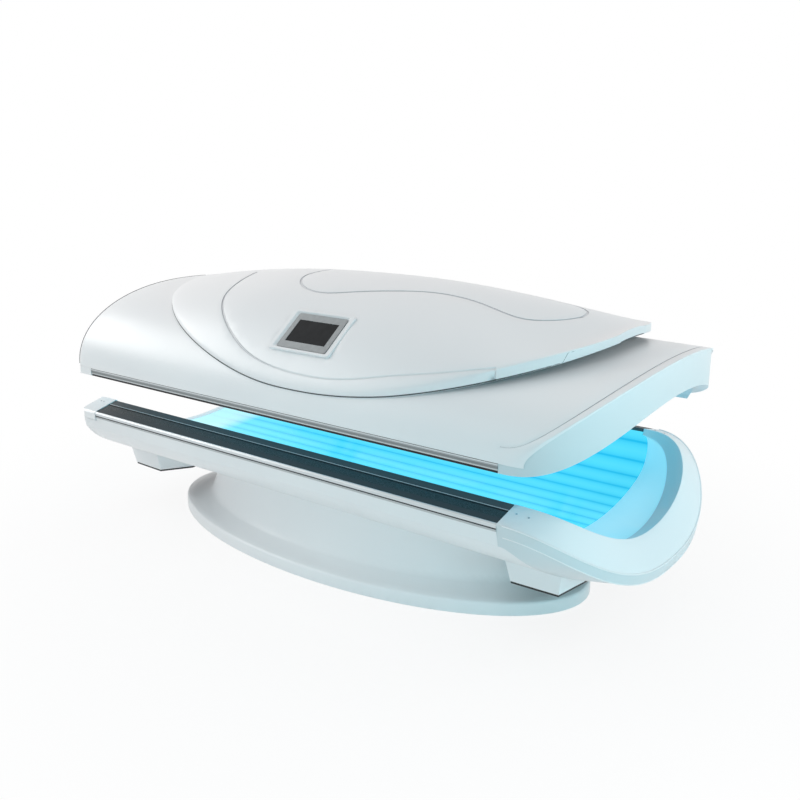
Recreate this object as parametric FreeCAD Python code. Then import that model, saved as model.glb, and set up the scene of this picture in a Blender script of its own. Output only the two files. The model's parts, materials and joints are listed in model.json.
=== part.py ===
import FreeCAD, Part
import math
import os

V = FreeCAD.Vector

# Lie-down sunbed. X runs to the foot end, -Y is the open front, Z is up.
# The origin is on the floor, under the middle of the rails. Millimetres.

# Driving sizes
TUBE_LENGTH = 1760.0       # lamp tubes
END_ROOM = 140.0           # rails past the tubes, for lamp holders and wiring
BED_WIDTH = 1156.0         # over the rails
HEAD_OVERHANG = 90.0       # caps past the head end of the rails
FOOT_REACH = 320.0         # bench moulding past the foot end of the rails
CANOPY_REACH = 304.0       # canopy moulding past the foot end of the rails
BENCH_EDGE_Z = 482.0       # outer top edge of the bench rails
TUB_DEPTH = 279.0          # bench edge down to the underside of the bench shell
TROUGH_DEPTH = 168.0       # bench edge down to the lying surface
CANOPY_GAP = 158.0         # bench edge up to the canopy rails
CANOPY_RISE_HEAD = 300.0   # canopy rail top up to the ridge, head end
CANOPY_RISE_FOOT = 245.0   # the same at the foot end
COVER_RISE = 400.0         # canopy rail top up to the crown of the top cover
SKIRT_LENGTH = 1932.0      # oval floor skirt
SKIRT_WIDTH = 910.0
SHELL_WALL = 5.0           # moulded shells
ACRYLIC_WALL = 4.0
TUBE_RADIUS = 19.0
BENCH_TUBES = 14
CANOPY_TUBES = 14
SCREEN_WIDTH = 179.0       # 8 inch wide panel
SCREEN_HEIGHT = 100.0
HINGE_X = 600.0            # hinges to each side of the middle
HINGE_PIN_RADIUS = 8.0
FAN_RADIUS = 90.0

# Clearances
SEAT = 0.3                 # between seated pieces
RUN = 0.05                 # radial, pin in its bush
SIDE = 2.0                 # between the hinge plates
RAIL_ROOM = 38.0           # reflector edge below the rails
TUBE_ROOM = 31.0           # outer tubes below the rails
SPRING_ROOM = 24.0         # canopy reflector edge inside the spring pins

# Sizes that follow from the ones above
HALF = BED_WIDTH / 2
RAIL_LENGTH = TUBE_LENGTH + END_ROOM
RAIL_END = RAIL_LENGTH / 2
HEAD_X = -RAIL_END - HEAD_OVERHANG
RAIL_RISE = 27.0
RAIL_INSET = 106.0
RAIL_IN_Y = HALF - RAIL_INSET
RAIL_LOW_Z = BENCH_EDGE_Z - 25.0
TROUGH_Z = BENCH_EDGE_Z - TROUGH_DEPTH
TROUGH_EDGE_Y = RAIL_IN_Y - ACRYLIC_WALL - 2.0
TROUGH_EDGE_Z = BENCH_EDGE_Z + 16.0
CANOPY_Z = BENCH_EDGE_Z + CANOPY_GAP
CANOPY_BASE_Z = CANOPY_Z + 25.0
TUB_Z = BENCH_EDGE_Z - TUB_DEPTH
SKIRT_A = SKIRT_LENGTH / 2
SKIRT_B = SKIRT_WIDTH / 2
ACRYLIC_HEAD_X = -RAIL_END - 50.0
ACRYLIC_FOOT = 50.0
HINGE_Y = HALF - 13.0
HINGE_Z = BENCH_EDGE_Z + 0.59 * CANOPY_GAP
TUBE_DROP = ACRYLIC_WALL + 12.0 + TUBE_RADIUS
MIRROR_DROP = TUBE_DROP + TUBE_RADIUS + 8.0
MIRROR_WALL = 1.2
HINGE_SIDES = (-HINGE_X, HINGE_X)
RIB_XS = (-0.82 * RAIL_END, -0.3 * RAIL_END, 0.3 * RAIL_END, 0.82 * RAIL_END)
FAN_X = 0.96 * RAIL_END

os.makedirs("parts", exist_ok=True)


def save(name, shape):
    shape = shape.removeSplitter()
    shape.exportStep("parts/" + name + ".step")


def box(x0, x1, y0, y1, z0, z1):
    return Part.makeBox(x1 - x0, y1 - y0, z1 - z0, V(x0, y0, z0))


def bar(radius, start, direction, length):
    return Part.makeCylinder(radius, length, start, direction)


def loop(points):
    return Part.makePolygon(list(points) + [points[0]])


def prism_x(section, x0, x1):
    face = Part.Face(loop([V(x0, y, z) for y, z in section]))
    return face.extrude(V(x1 - x0, 0, 0))


def prism_z(section, z0, z1):
    face = Part.Face(loop([V(x, y, z0) for x, y in section]))
    return face.extrude(V(0, 0, z1 - z0))


def other_side(shape):
    return shape.mirror(V(0, 0, 0), V(0, 1, 0))


def both_sides(shape):
    return [shape, other_side(shape)]


def spline(points):
    curve = Part.BSplineCurve()
    curve.interpolate(points)
    return curve


# Unit superellipse by its angle from the first axis
def round_corner(angle, exponent):
    c = math.cos(angle)
    s = math.sin(angle)
    if abs(c) < 1e-9:
        c = 0.0
    r = (abs(c) ** exponent + abs(s) ** exponent) ** (-1.0 / exponent)
    return r * c, r * s


def blend(value, low, high):
    t = min(1.0, max(0.0, (value - low) / (high - low)))
    return t * t * (3.0 - 2.0 * t)


# Trough of two tangent arcs each side of the middle, used for the acrylic, tubes and reflectors
def trough(flip, floor_z, flat_radius, flat_y, edge_y, edge_z):
    floor = flip * floor_z
    a1 = math.asin(flat_y / flat_radius)
    z1 = floor + flat_radius * (1.0 - math.cos(a1))
    a2 = 2.0 * math.atan2(flip * edge_z - z1, edge_y - flat_y) - a1
    r2 = (edge_y - flat_y) / (math.sin(a2) - math.sin(a1))
    return {
        "flip": flip, "r1": flat_radius, "a1": a1, "c1": floor + flat_radius,
        "r2": r2, "a2": a2, "c2y": flat_y - r2 * math.sin(a1), "c2z": z1 + r2 * math.cos(a1),
    }


def trough_point(form, angle, drop):
    a = abs(angle)
    if a <= form["a1"]:
        r = form["r1"] + drop
        y = r * math.sin(a)
        z = form["c1"] - r * math.cos(a)
    else:
        r = form["r2"] + drop
        y = form["c2y"] + r * math.sin(a)
        z = form["c2z"] - r * math.cos(a)
    return math.copysign(y, angle), form["flip"] * z


# Angle at which the trough reaches a height, or a distance from the middle
def angle_at_height(form, z, drop):
    return math.acos((form["c2z"] - form["flip"] * z) / (form["r2"] + drop))


def angle_at_width(form, y, drop):
    return math.asin((y - form["c2y"]) / (form["r2"] + drop))


def trough_length(form, angle, drop):
    flat = (form["r1"] + drop) * min(angle, form["a1"])
    return flat + (form["r2"] + drop) * max(0.0, angle - form["a1"])


def trough_angle(form, length, drop):
    flat = (form["r1"] + drop) * form["a1"]
    if abs(length) <= flat:
        return length / (form["r1"] + drop)
    over = (abs(length) - flat) / (form["r2"] + drop)
    return math.copysign(form["a1"] + over, length)


def trough_height(form, y):
    flat_y = form["r1"] * math.sin(form["a1"])
    if abs(y) <= flat_y:
        return form["flip"] * (form["c1"] - math.sqrt(form["r1"] ** 2 - y * y))
    return form["flip"] * (form["c2z"] - math.sqrt(form["r2"] ** 2 - (abs(y) - form["c2y"]) ** 2))


def trough_edges(form, drop, limit, x):
    stops = [-limit, -form["a1"], form["a1"], limit]
    edges = []
    for low, high in zip(stops, stops[1:]):
        mid = (low + high) / 2
        nudge = 1e-9
        spots = []
        for a in (low, mid, high):
            y, z = trough_point(form, a, drop)
            spots.append(V(x, y, z))
        if high > form["a1"] + nudge:
            y, z = trough_point(form, form["a1"], drop)
            spots[0] = V(x, y, z)
        edges.append(Part.Arc(spots[0], spots[1], spots[2]).toShape())
    return edges


def solid_x(edges, length):
    wire = Part.Wire(Part.__sortEdges__(edges))
    return Part.Face(wire).extrude(V(length, 0, 0))


def line(a, b):
    return Part.makeLine(a, b)


def trough_sheet(form, drop, wall, limit, x0, x1):
    inner = trough_edges(form, drop, limit, x0)
    outer = trough_edges(form, drop + wall, limit, x0)
    ends = []
    for a in (-limit, limit):
        y0, z0 = trough_point(form, a, drop)
        y1, z1 = trough_point(form, a, drop + wall)
        ends.append(line(V(x0, y0, z0), V(x0, y1, z1)))
    return solid_x(inner + outer + ends, x1 - x0)


BENCH_FORM = trough(1, TROUGH_Z, 1.853 * HALF, 0.588 * HALF, TROUGH_EDGE_Y, TROUGH_EDGE_Z)
CANOPY_EDGE_Z = CANOPY_Z + 12.0
CEILING_Z = CANOPY_BASE_Z + 0.55 * CANOPY_RISE_FOOT
CANOPY_FORM = trough(-1, CEILING_Z, 1.7 * HALF, 0.588 * HALF, TROUGH_EDGE_Y, CANOPY_EDGE_Z)

# Bench shell section: upper band, crease, then a full curve to the flat underside
TUB_BAND = (1.0 - 3.0 / HALF, 1.0 - 15.0 / HALF)
TUB_BAND_Z = (RAIL_LOW_Z - SEAT, BENCH_EDGE_Z - 0.265 * TUB_DEPTH)
TUB_CURVE = (
    (0.903, 0.445), (0.799, 0.595), (0.692, 0.713), (0.571, 0.832),
    (0.45, 0.925), (0.31, 0.978), (0.15, 0.997),
)


def tub_points(inset, x):
    half = [(TUB_BAND[1] * HALF, TUB_BAND_Z[1])]
    for t, f in TUB_CURVE:
        half.append((t * HALF, BENCH_EDGE_Z - f * TUB_DEPTH))
    spots = [V(x, -y, z) for y, z in half] + [V(x, 0, TUB_Z)] + [V(x, y, z) for y, z in reversed(half)]
    if inset == 0:
        return spots
    curve = spline(spots)
    moved = []
    for spot in spots:
        run = curve.tangent(curve.parameter(spot))[0]
        moved.append(spot + V(0, -run.z, run.y) * inset)
    return moved


def tub_edges(inset, x, top):
    spots = tub_points(inset, x)
    band = TUB_BAND[0] * HALF - inset
    left = V(x, -band, TUB_BAND_Z[0])
    right = V(x, band, TUB_BAND_Z[0])
    edges = [spline(spots).toShape(), line(left, spots[0]), line(spots[-1], right)]
    if top is None:
        edges.append(line(left, right))
    else:
        high_left = V(x, -band, top)
        high_right = V(x, band, top)
        edges += [line(left, high_left), line(right, high_right), line(high_left, high_right)]
    return edges, left, right


def tub_solid(inset, x0, x1, top):
    edges, left, right = tub_edges(inset, x0, top)
    return solid_x(edges, x1 - x0)


# Rounded plan outline of a foot end: a superellipse past the rail ends
def end_outline(start_x, reach, half, exponent, back_x, z):
    spots = []
    for k in range(25):
        u, v = round_corner(math.radians(-90.0 + 7.5 * k), exponent)
        spots.append(V(start_x + reach * u, half * v, z))
    first = V(back_x, spots[0].y, z)
    last = V(back_x, spots[-1].y, z)
    spots[0] = V(start_x, -half, z)
    spots[-1] = V(start_x, half, z)
    edges = [line(first, spots[0]), spline(spots).toShape(), line(spots[-1], last), line(last, first)]
    return Part.Wire(edges)


def end_prism(start_x, reach, half, exponent, back_x, z0, z1):
    wire = end_outline(start_x, reach, half, exponent, back_x, z0)
    return Part.Face(wire).extrude(V(0, 0, z1 - z0))


# Bench foot-end moulding: lines that run round the end from rail to rail
def rim_line(turn, reach, half, exponent, low_z, high_z, rise):
    out, share = round_corner(turn, exponent)
    z = low_z + (high_z - low_z) * abs(share) ** rise
    return V(RAIL_END + reach * out, half * share, z)


RIM_EDGE_Z = BENCH_EDGE_Z - 0.8 * TUB_DEPTH
RIM_LOW_Z = BENCH_EDGE_Z - 0.925 * TUB_DEPTH
RIM_TOP_Z = BENCH_EDGE_Z - 0.53 * TUB_DEPTH
RIM_STEP = 30.0
RIM_WALL = 8.0
UNDER_REACH = 0.47 * FOOT_REACH
UNDER_Y = HALF - 14.5
FLANGE_REACH = 0.75 * FOOT_REACH
LINING_REACH = 0.58 * FOOT_REACH


def tub_height(y):
    spots = tub_points(0.0, 0.0)
    curve = spline(spots)
    low = 0.0
    high = curve.LastParameter
    for k in range(40):
        mid = (low + high) / 2
        if curve.value(mid).y < y:
            low = mid
        else:
            high = mid
    return curve.value(low).z


def rim_section(turn):
    lining_y = TROUGH_EDGE_Y - 4.0
    lining = rim_line(turn, ACRYLIC_FOOT, lining_y, 4.0, 0.0, 0.0, 1.0)
    lining.z = trough_height(BENCH_FORM, lining.y)
    high = BENCH_EDGE_Z + RAIL_RISE
    step = rim_line(turn, LINING_REACH, TROUGH_EDGE_Y, 2.6, RIM_TOP_Z - RIM_STEP, high - RIM_STEP, 2.03)
    inner = rim_line(turn, FLANGE_REACH, RAIL_IN_Y, 3.0, RIM_TOP_Z, high, 2.03)
    edge = rim_line(turn, FOOT_REACH, HALF, 2.4, RIM_EDGE_Z, BENCH_EDGE_Z, 2.49)
    low_y = HALF - 6.5
    low_high = RAIL_LOW_Z - 14.0
    low = rim_line(turn, FOOT_REACH - 4.0, low_y, 2.4, RIM_LOW_Z, low_high, 2.52)
    under = rim_line(turn, UNDER_REACH, UNDER_Y, 2.4, 0.0, 0.0, 1.0)
    under.z = tub_height(under.y)
    under_in = V(under.x, under.y, under.z + RIM_WALL)
    low_in = rim_line(
        turn, FOOT_REACH - 4.0 - RIM_WALL, low_y - RIM_WALL, 2.4, RIM_LOW_Z + RIM_WALL, low_high + 4.0, 2.52)
    edge_in = rim_line(
        turn, FOOT_REACH - RIM_WALL, HALF - RIM_WALL, 2.4, RIM_EDGE_Z - 7.0, BENCH_EDGE_Z - 7.0, 2.49)
    inner_in = rim_line(turn, FLANGE_REACH - 2.0, RAIL_IN_Y + 5.0, 3.0, RIM_TOP_Z - 10.0, high - 10.0, 2.03)
    step_in = rim_line(
        turn, LINING_REACH + 6.0, TROUGH_EDGE_Y + 4.0, 2.6, RIM_TOP_Z - RIM_STEP - RIM_WALL,
        high - RIM_STEP - RIM_WALL, 2.03)
    lining_in = V(lining.x, lining.y, lining.z - RIM_WALL)
    return [
        lining, step, inner, edge, low, under, under_in, low_in, edge_in, inner_in, step_in, lining_in]


RIM_TURNS = [-90, -84, -76, -66, -56, -45, -34, -23, -11, 0, 11, 23, 34, 45, 56, 66, 76, 84, 90]


def rim_shape():
    sections = [rim_section(math.radians(a)) for a in RIM_TURNS]
    steps = [float(a) for a in RIM_TURNS]
    curves = []
    for k in range(len(sections[0])):
        curve = Part.BSplineCurve()
        curve.interpolate(Points=[section[k] for section in sections], Parameters=steps)
        curves.append(curve.toShape())
    faces = []
    for k in range(len(curves)):
        faces.append(Part.makeRuledSurface(curves[k - 1], curves[k]))
    for section in (sections[0], sections[-1]):
        faces.append(Part.Face(loop(section)))
    shell = Part.Shell(faces)
    shell.sewShape()
    body = Part.makeSolid(shell)
    if body.Volume < 0:
        body.reverse()
    return body


# Canopy arch
def canopy_rise(x):
    return CANOPY_RISE_HEAD + (CANOPY_RISE_FOOT - CANOPY_RISE_HEAD) * (x - HEAD_X) / (
        RAIL_END + CANOPY_REACH - HEAD_X)


ARCH_POWER = 2.2


def arch_height(x, y):
    t = min(1.0, abs(y) / HALF)
    return CANOPY_BASE_Z + canopy_rise(x) * (1.0 - t ** ARCH_POWER) ** (1.0 / ARCH_POWER)


def arch_points(x, inset, lift, shrink):
    half = HALF * shrink - inset
    rise = canopy_rise(x) * shrink - inset + lift
    spots = []
    for k in range(21):
        up, across_y = round_corner(math.radians(-90.0 + 9.0 * k), ARCH_POWER)
        spots.append(V(x, half * across_y, CANOPY_BASE_Z + rise * up))
    spots[0] = V(x, -half, CANOPY_BASE_Z)
    spots[-1] = V(x, half, CANOPY_BASE_Z)
    return spots


def arch_wire(x, inset, lift, shrink, base_z):
    spots = arch_points(x, inset, lift, shrink)
    if abs(base_z - CANOPY_BASE_Z) < 0.01:
        return Part.Wire([spline(spots).toShape(), line(spots[-1], spots[0])])
    low_left = V(x, spots[0].y, base_z)
    low_right = V(x, spots[-1].y, base_z)
    return Part.Wire([
        line(low_left, spots[0]), spline(spots).toShape(), line(spots[-1], low_right),
        line(low_right, low_left)])


def arch_solid(stations, base_z):
    wires = [arch_wire(x, inset, lift, shrink, base_z) for x, inset, lift, shrink in stations]
    return Part.makeLoft(wires, True, True)


# Top cover: plan outline and crown
COVER_HEAD_X = HEAD_X + 153.0
COVER_FOOT_X = RAIL_END + 0.44 * CANOPY_REACH
COVER_MID_X = (COVER_HEAD_X + COVER_FOOT_X) / 2
COVER_A = (COVER_FOOT_X - COVER_HEAD_X) / 2
COVER_B = HALF - 16.0
COVER_TOP_Z = CANOPY_BASE_Z + COVER_RISE
CROWN_X = COVER_MID_X + 70.0


def cover_half(x):
    u = min(1.0, abs(x - COVER_MID_X) / COVER_A)
    n = 2.15 if x < COVER_MID_X else 2.6
    return COVER_B * (1.0 - u ** n) ** (1.0 / n)


def cover_crown(x):
    if x < CROWN_X:
        return COVER_TOP_Z - 84.0 * ((CROWN_X - x) / (CROWN_X - COVER_HEAD_X)) ** 2.33
    return COVER_TOP_Z - 111.0 * ((x - CROWN_X) / (COVER_FOOT_X - CROWN_X)) ** 1.97


def cover_edge(x):
    lip = 10.0 + 8.0 * blend(x, COVER_HEAD_X, COVER_MID_X + 500.0)
    return lip + 40.0 * blend(x, COVER_MID_X + 300.0, COVER_FOOT_X)


# Ridge of the cover, easing into the edge at both tips
def cover_ridge(x, low):
    half_step = (cover_crown(x) - low - 6.0) / 2
    return low + 6.0 + half_step + math.sqrt(half_step ** 2 + 36.0)


# Cover section: round crown, straighter slopes, full edge
def crown_share(t):
    return max(0.0, 1.0 - abs(t) ** 1.9) ** 0.8


def cover_wire(x, inset, base_z):
    half = cover_half(x)
    low = arch_height(x, half) + cover_edge(x)
    high = cover_ridge(x, low)
    half = half - inset
    high = high - inset
    spots = []
    for k in range(21):
        t = math.sin(math.radians(-90.0 + 9.0 * k))
        z = low - inset + (high - low + inset) * crown_share(t)
        spots.append(V(x, half * t, z))
    spots[0] = V(x, -half, low - inset)
    spots[-1] = V(x, half, low - inset)
    low_left = V(x, -half, base_z)
    low_right = V(x, half, base_z)
    return Part.Wire([
        line(low_left, spots[0]), spline(spots).toShape(), line(spots[-1], low_right),
        line(low_right, low_left)])


def cover_solid(inset, base_z):
    stations = []
    for k in range(19):
        a = math.pi * (0.03 + 0.94 * k / 18.0)
        stations.append(COVER_MID_X - (COVER_A - inset) * math.cos(a))
    return Part.makeLoft([cover_wire(x, inset, base_z) for x in stations], True, False)


# Pedestal
def oval(a, b, z):
    ellipse = Part.Ellipse(V(0, 0, z), a, b)
    return Part.Wire([ellipse.toShape()])


CREASE_Z = 80.0
COLUMN_TOP_Z = RAIL_LOW_Z - 100.0


def pedestal_solid(inset, low_z):
    rings = []
    wall = [(1.0, 1.0, low_z), (1.0, 1.0, 36.0)]
    round_edge = [(1.0, 1.0, 36.0), (0.998, 0.996, 44.0), (0.991, 0.982, 50.0)]
    flare = [
        (0.991, 0.982, 50.0), (0.953, 0.93, 54.0), (0.912, 0.88, 61.0), (0.88, 0.842, 70.0),
        (0.856, 0.811, CREASE_Z)]
    column = [
        (0.856, 0.811, CREASE_Z), (0.834, 0.776, 130.0), (0.82, 0.752, 190.0),
        (0.815, 0.742, COLUMN_TOP_Z)]
    for group in (wall, round_edge, flare, column):
        wires = [oval(SKIRT_A * p - inset, SKIRT_B * q - inset, z) for p, q, z in group]
        rings.append(Part.makeLoft(wires, True, len(wires) == 2))
    return rings[0].multiFuse(rings[1:])


# Air-intake housing outline, as a plan eight-sided shape
HOUSING_LOW_Z = TUB_Z - 26.5
GRILLE_WALL = 7.5


def housing_plan(side, grow):
    inner = 796.0 / 950.0 * RAIL_END
    corner = 868.0 / 950.0 * RAIL_END
    outer = 1034.0 / 950.0 * RAIL_END
    bulge = outer + (24.0 if side > 0 else 2.0)
    wide = 0.583 * HALF
    deep = 0.386 * HALF
    back = 0.315 * HALF
    half = [
        (corner - 0.5 * grow, wide + grow), (outer + 0.8 * grow, wide - 6.0 + grow),
        (bulge + (grow if side > 0 else 0.0), back), (bulge + (grow if side > 0 else 0.0), -back),
        (outer + 0.8 * grow, -wide + 6.0 - grow), (corner - 0.5 * grow, -wide - grow),
        (inner - grow, -deep), (inner - grow, deep)]
    if side < 0:
        limit = -HEAD_X - SEAT
        half = [(min(x, limit), y) for x, y in half]
    return [(side * x, y) for x, y in half]


def housing_loft(side, inset, z0, z1):
    wires = []
    for z in (z0, z1):
        grow = 44.0 * (z - HOUSING_LOW_Z) / 170.0 - inset
        wires.append(loop([V(x, y, z) for x, y in housing_plan(side, grow)]))
    return Part.makeLoft(wires, True, True)


# Bench rail section, front side
RAIL_SLOPE = math.hypot(RAIL_INSET - 2.0, RAIL_RISE)
RAIL_RUN = ((RAIL_INSET - 2.0) / RAIL_SLOPE, RAIL_RISE / RAIL_SLOPE)


def on_rail(u, w):
    y = -(HALF - 2.0) + u * RAIL_RUN[0] - w * RAIL_RUN[1]
    z = BENCH_EDGE_Z + u * RAIL_RUN[1] + w * RAIL_RUN[0]
    return y, z


STRIP_FROM = 0.29 * RAIL_SLOPE
STRIP_TO = 0.6 * RAIL_SLOPE
LINE_FROM = STRIP_TO + 2.0
LINE_TO = STRIP_TO + 4.0


def rail_under():
    return [
        (-RAIL_IN_Y + 1.7, BENCH_EDGE_Z + 4.0), (-RAIL_IN_Y - 28.0, RAIL_LOW_Z + 17.0),
        (-HALF + 22.0, RAIL_LOW_Z - 5.0), (-HALF + 12.0, RAIL_LOW_Z), (-HALF + 2.0, RAIL_LOW_Z)]


def rail_shape():
    outer = [
        on_rail(2.0, 0.6), on_rail(STRIP_FROM, 0), on_rail(STRIP_FROM, -2.5), on_rail(STRIP_TO, -2.5),
        on_rail(STRIP_TO, 0), on_rail(LINE_FROM, 0), on_rail(LINE_FROM, -1.2), on_rail(LINE_TO, -1.2),
        on_rail(LINE_TO, 0), on_rail(RAIL_SLOPE - 3.0, 0), on_rail(RAIL_SLOPE + 1.0, -2.0)]
    outer += rail_under()
    outer += [(-HALF, RAIL_LOW_Z + 3.0), (-HALF, BENCH_EDGE_Z - 4.0)]
    chamber = [
        on_rail(6.0, -4.0), on_rail(STRIP_TO, -6.0), on_rail(RAIL_SLOPE - 12.0, -5.0),
        (-RAIL_IN_Y - 10.0, BENCH_EDGE_Z + 4.0), (-RAIL_IN_Y - 30.0, RAIL_LOW_Z + 21.0),
        (-HALF + 22.0, RAIL_LOW_Z), (-HALF + 6.0, RAIL_LOW_Z + 4.0)]
    body = prism_x(outer, -RAIL_END + SEAT, RAIL_END - SEAT)
    return body.cut(prism_x(chamber, -RAIL_END - 1.0, RAIL_END + 1.0))


def strip_shape():
    section = [
        on_rail(STRIP_FROM + 0.2, -2.3), on_rail(STRIP_TO - 0.2, -2.3), on_rail(STRIP_TO - 0.2, -0.3),
        on_rail(STRIP_FROM + 0.2, -0.3)]
    return prism_x(section, -RAIL_END + SEAT, RAIL_END - SEAT)


def rounded_head(shape, half, radius, x0, z0, z1):
    plan = [(x0, -half), (RAIL_END, -half), (RAIL_END, half), (x0, half)]
    block = prism_z(plan, z0, z1)
    edges = []
    for edge in block.Edges:
        spots = [v.Point for v in edge.Vertexes]
        if abs(spots[0].x - x0) < 1e-6 and abs(spots[1].x - x0) < 1e-6 and abs(spots[0].z - spots[1].z) > 1.0:
            edges.append(edge)
    return shape.common(block.makeFillet(radius, edges))


CAP_PROUD = 2.5


def cap_shape():
    section = [
        on_rail(3.0, CAP_PROUD), on_rail(RAIL_SLOPE - 1.0, CAP_PROUD), on_rail(RAIL_SLOPE + 5.0, -1.0)]
    section += [
        (-RAIL_IN_Y + 5.5, BENCH_EDGE_Z + 2.0), (-RAIL_IN_Y - 26.0, RAIL_LOW_Z + 13.0),
        (-HALF + 24.0, RAIL_LOW_Z - 9.0), (-HALF + 8.0, RAIL_LOW_Z - 12.0),
        (-HALF - CAP_PROUD, RAIL_LOW_Z - 6.0), (-HALF - CAP_PROUD, BENCH_EDGE_Z - 4.0)]
    body = prism_x(section, HEAD_X, -RAIL_END)
    return rounded_head(body, HALF + CAP_PROUD, 26.0, HEAD_X, 0.0, CANOPY_Z)


def cap_under():
    return [
        (-RAIL_IN_Y + 5.5, BENCH_EDGE_Z + 2.0 - SEAT), (-RAIL_IN_Y - 26.0, RAIL_LOW_Z + 13.0 - SEAT),
        (-HALF + 24.0, RAIL_LOW_Z - 9.0 - SEAT), (-HALF + 8.0, RAIL_LOW_Z - 12.0 - SEAT)]


# Crescent between a trough line and the bench shell
def bench_crescent(drop, limit, inset, top, x0, x1):
    arcs = trough_edges(BENCH_FORM, drop, limit, x0)
    spots = tub_points(inset, x0)
    y, z = trough_point(BENCH_FORM, limit, drop)
    left = [V(x0, -y, z)] + [V(x0, a, b) for a, b in top] + [spots[0]]
    right = [V(x0, p.y * -1.0, p.z) for p in left]
    edges = arcs + [spline(spots).toShape()]
    for chain in (left, right):
        for a, b in zip(chain, chain[1:]):
            edges.append(line(a, b))
    return solid_x(edges, x1 - x0)


def canopy_crescent(drop, limit, inset, side, x0, x1):
    arcs = trough_edges(CANOPY_FORM, drop, limit, x0)
    spots = [V(x0, p.y, p.z) for p in arch_points(max(x0, x1), inset + SEAT, 0.0, 1.0)]
    y, z = trough_point(CANOPY_FORM, limit, drop)
    left = [V(x0, -y, z)] + [V(x0, a, b) for a, b in side] + [spots[0]]
    right = [V(x0, p.y * -1.0, p.z) for p in left]
    edges = arcs + [spline(spots).toShape()]
    for chain in (left, right):
        for a, b in zip(chain, chain[1:]):
            edges.append(line(a, b))
    return solid_x(edges, x1 - x0)


# Pedestal and frame
plate_a = SKIRT_A - SHELL_WALL - SEAT
plate_b = SKIRT_B - SHELL_WALL - SEAT
PLATE_WALL = 5.0
plate = Part.Face(oval(plate_a, plate_b, 0.0)).extrude(V(0, 0, PLATE_WALL))
save("base_plate", plate)

BEAM_Y = 130.0
BEAM_WIDTH = 30.0
BEAM_LOW_Z = TUB_Z + 12.0
BEAM_HIGH_Z = BEAM_LOW_Z + 30.0
POST_X = 0.474 * RAIL_END
POST_HALF_X = 60.0
POST_HALF_Y = BEAM_Y + BEAM_WIDTH / 2
posts = []
for x in (-POST_X, POST_X):
    tube = box(x - POST_HALF_X, x + POST_HALF_X, -POST_HALF_Y, POST_HALF_Y, PLATE_WALL, BEAM_LOW_Z - 6.0)
    tube = tube.cut(box(
        x - POST_HALF_X + 6.0, x + POST_HALF_X - 6.0, -POST_HALF_Y + 6.0, POST_HALF_Y - 6.0,
        PLATE_WALL + 6.0, BEAM_LOW_Z))
    head = box(x - POST_HALF_X, x + POST_HALF_X, -POST_HALF_Y, POST_HALF_Y, BEAM_LOW_Z - 6.0, BEAM_LOW_Z)
    foot = box(
        x - POST_HALF_X - 40.0, x + POST_HALF_X + 40.0, -POST_HALF_Y - 30.0, POST_HALF_Y + 30.0,
        PLATE_WALL, PLATE_WALL + 8.0)
    posts.append(tube.fuse(head).fuse(foot))
tie = box(-POST_X + POST_HALF_X, POST_X - POST_HALF_X, -40.0, 40.0, 60.0, 120.0)
save("pedestal_frame", posts[0].multiFuse([posts[1], tie]))

INLET_X = -0.26 * RAIL_END
INLET_Z = 22.0
INLET_BORE = 5.0
INLET_BODY = 10.0
inlet_y = SKIRT_B * math.sqrt(1.0 - (INLET_X / SKIRT_A) ** 2)
skirt = pedestal_solid(0.0, 1.0).cut(pedestal_solid(SHELL_WALL, -1.0))
above_column = tub_solid(-SEAT, HEAD_X - 50.0, RAIL_END + FOOT_REACH, CANOPY_Z)
skirt = skirt.cut(above_column)
skirt = skirt.cut(bar(INLET_BODY + 0.1, V(INLET_X, inlet_y - 60.0, INLET_Z), V(0, 1, 0), 120.0))
save("pedestal_cover", skirt)

gland = bar(INLET_BODY, V(INLET_X, inlet_y - 24.0, INLET_Z), V(0, 1, 0), 40.0)
collar_y = inlet_y + 5.0
gland = gland.fuse(bar(INLET_BODY + 4.0, V(INLET_X, collar_y, INLET_Z), V(0, 1, 0), 6.0))
gland = gland.cut(bar(INLET_BORE, V(INLET_X, inlet_y - 60.0, INLET_Z), V(0, 1, 0), 120.0))
save("mains_inlet", gland)

beam_x0 = HEAD_X + 25.0
beam_x1 = RAIL_END + 30.0
beams = []
for y in (-BEAM_Y, BEAM_Y):
    tube = box(beam_x0, beam_x1, y - BEAM_WIDTH / 2, y + BEAM_WIDTH / 2, BEAM_LOW_Z, BEAM_HIGH_Z)
    hollow = box(
        beam_x0 - 1.0, beam_x1 + 1.0, y - BEAM_WIDTH / 2 + 3.0, y + BEAM_WIDTH / 2 - 3.0,
        BEAM_LOW_Z + 3.0, BEAM_HIGH_Z - 3.0)
    beams.append(tube.cut(hollow))
crossings = []
for x in (-POST_X, POST_X):
    crossings.append(box(
        x - 20.0, x + 20.0, -BEAM_Y + BEAM_WIDTH / 2, BEAM_Y - BEAM_WIDTH / 2, BEAM_LOW_Z, BEAM_LOW_Z + 20.0))
save("bench_beams", beams[0].multiFuse([beams[1]] + crossings))

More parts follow.
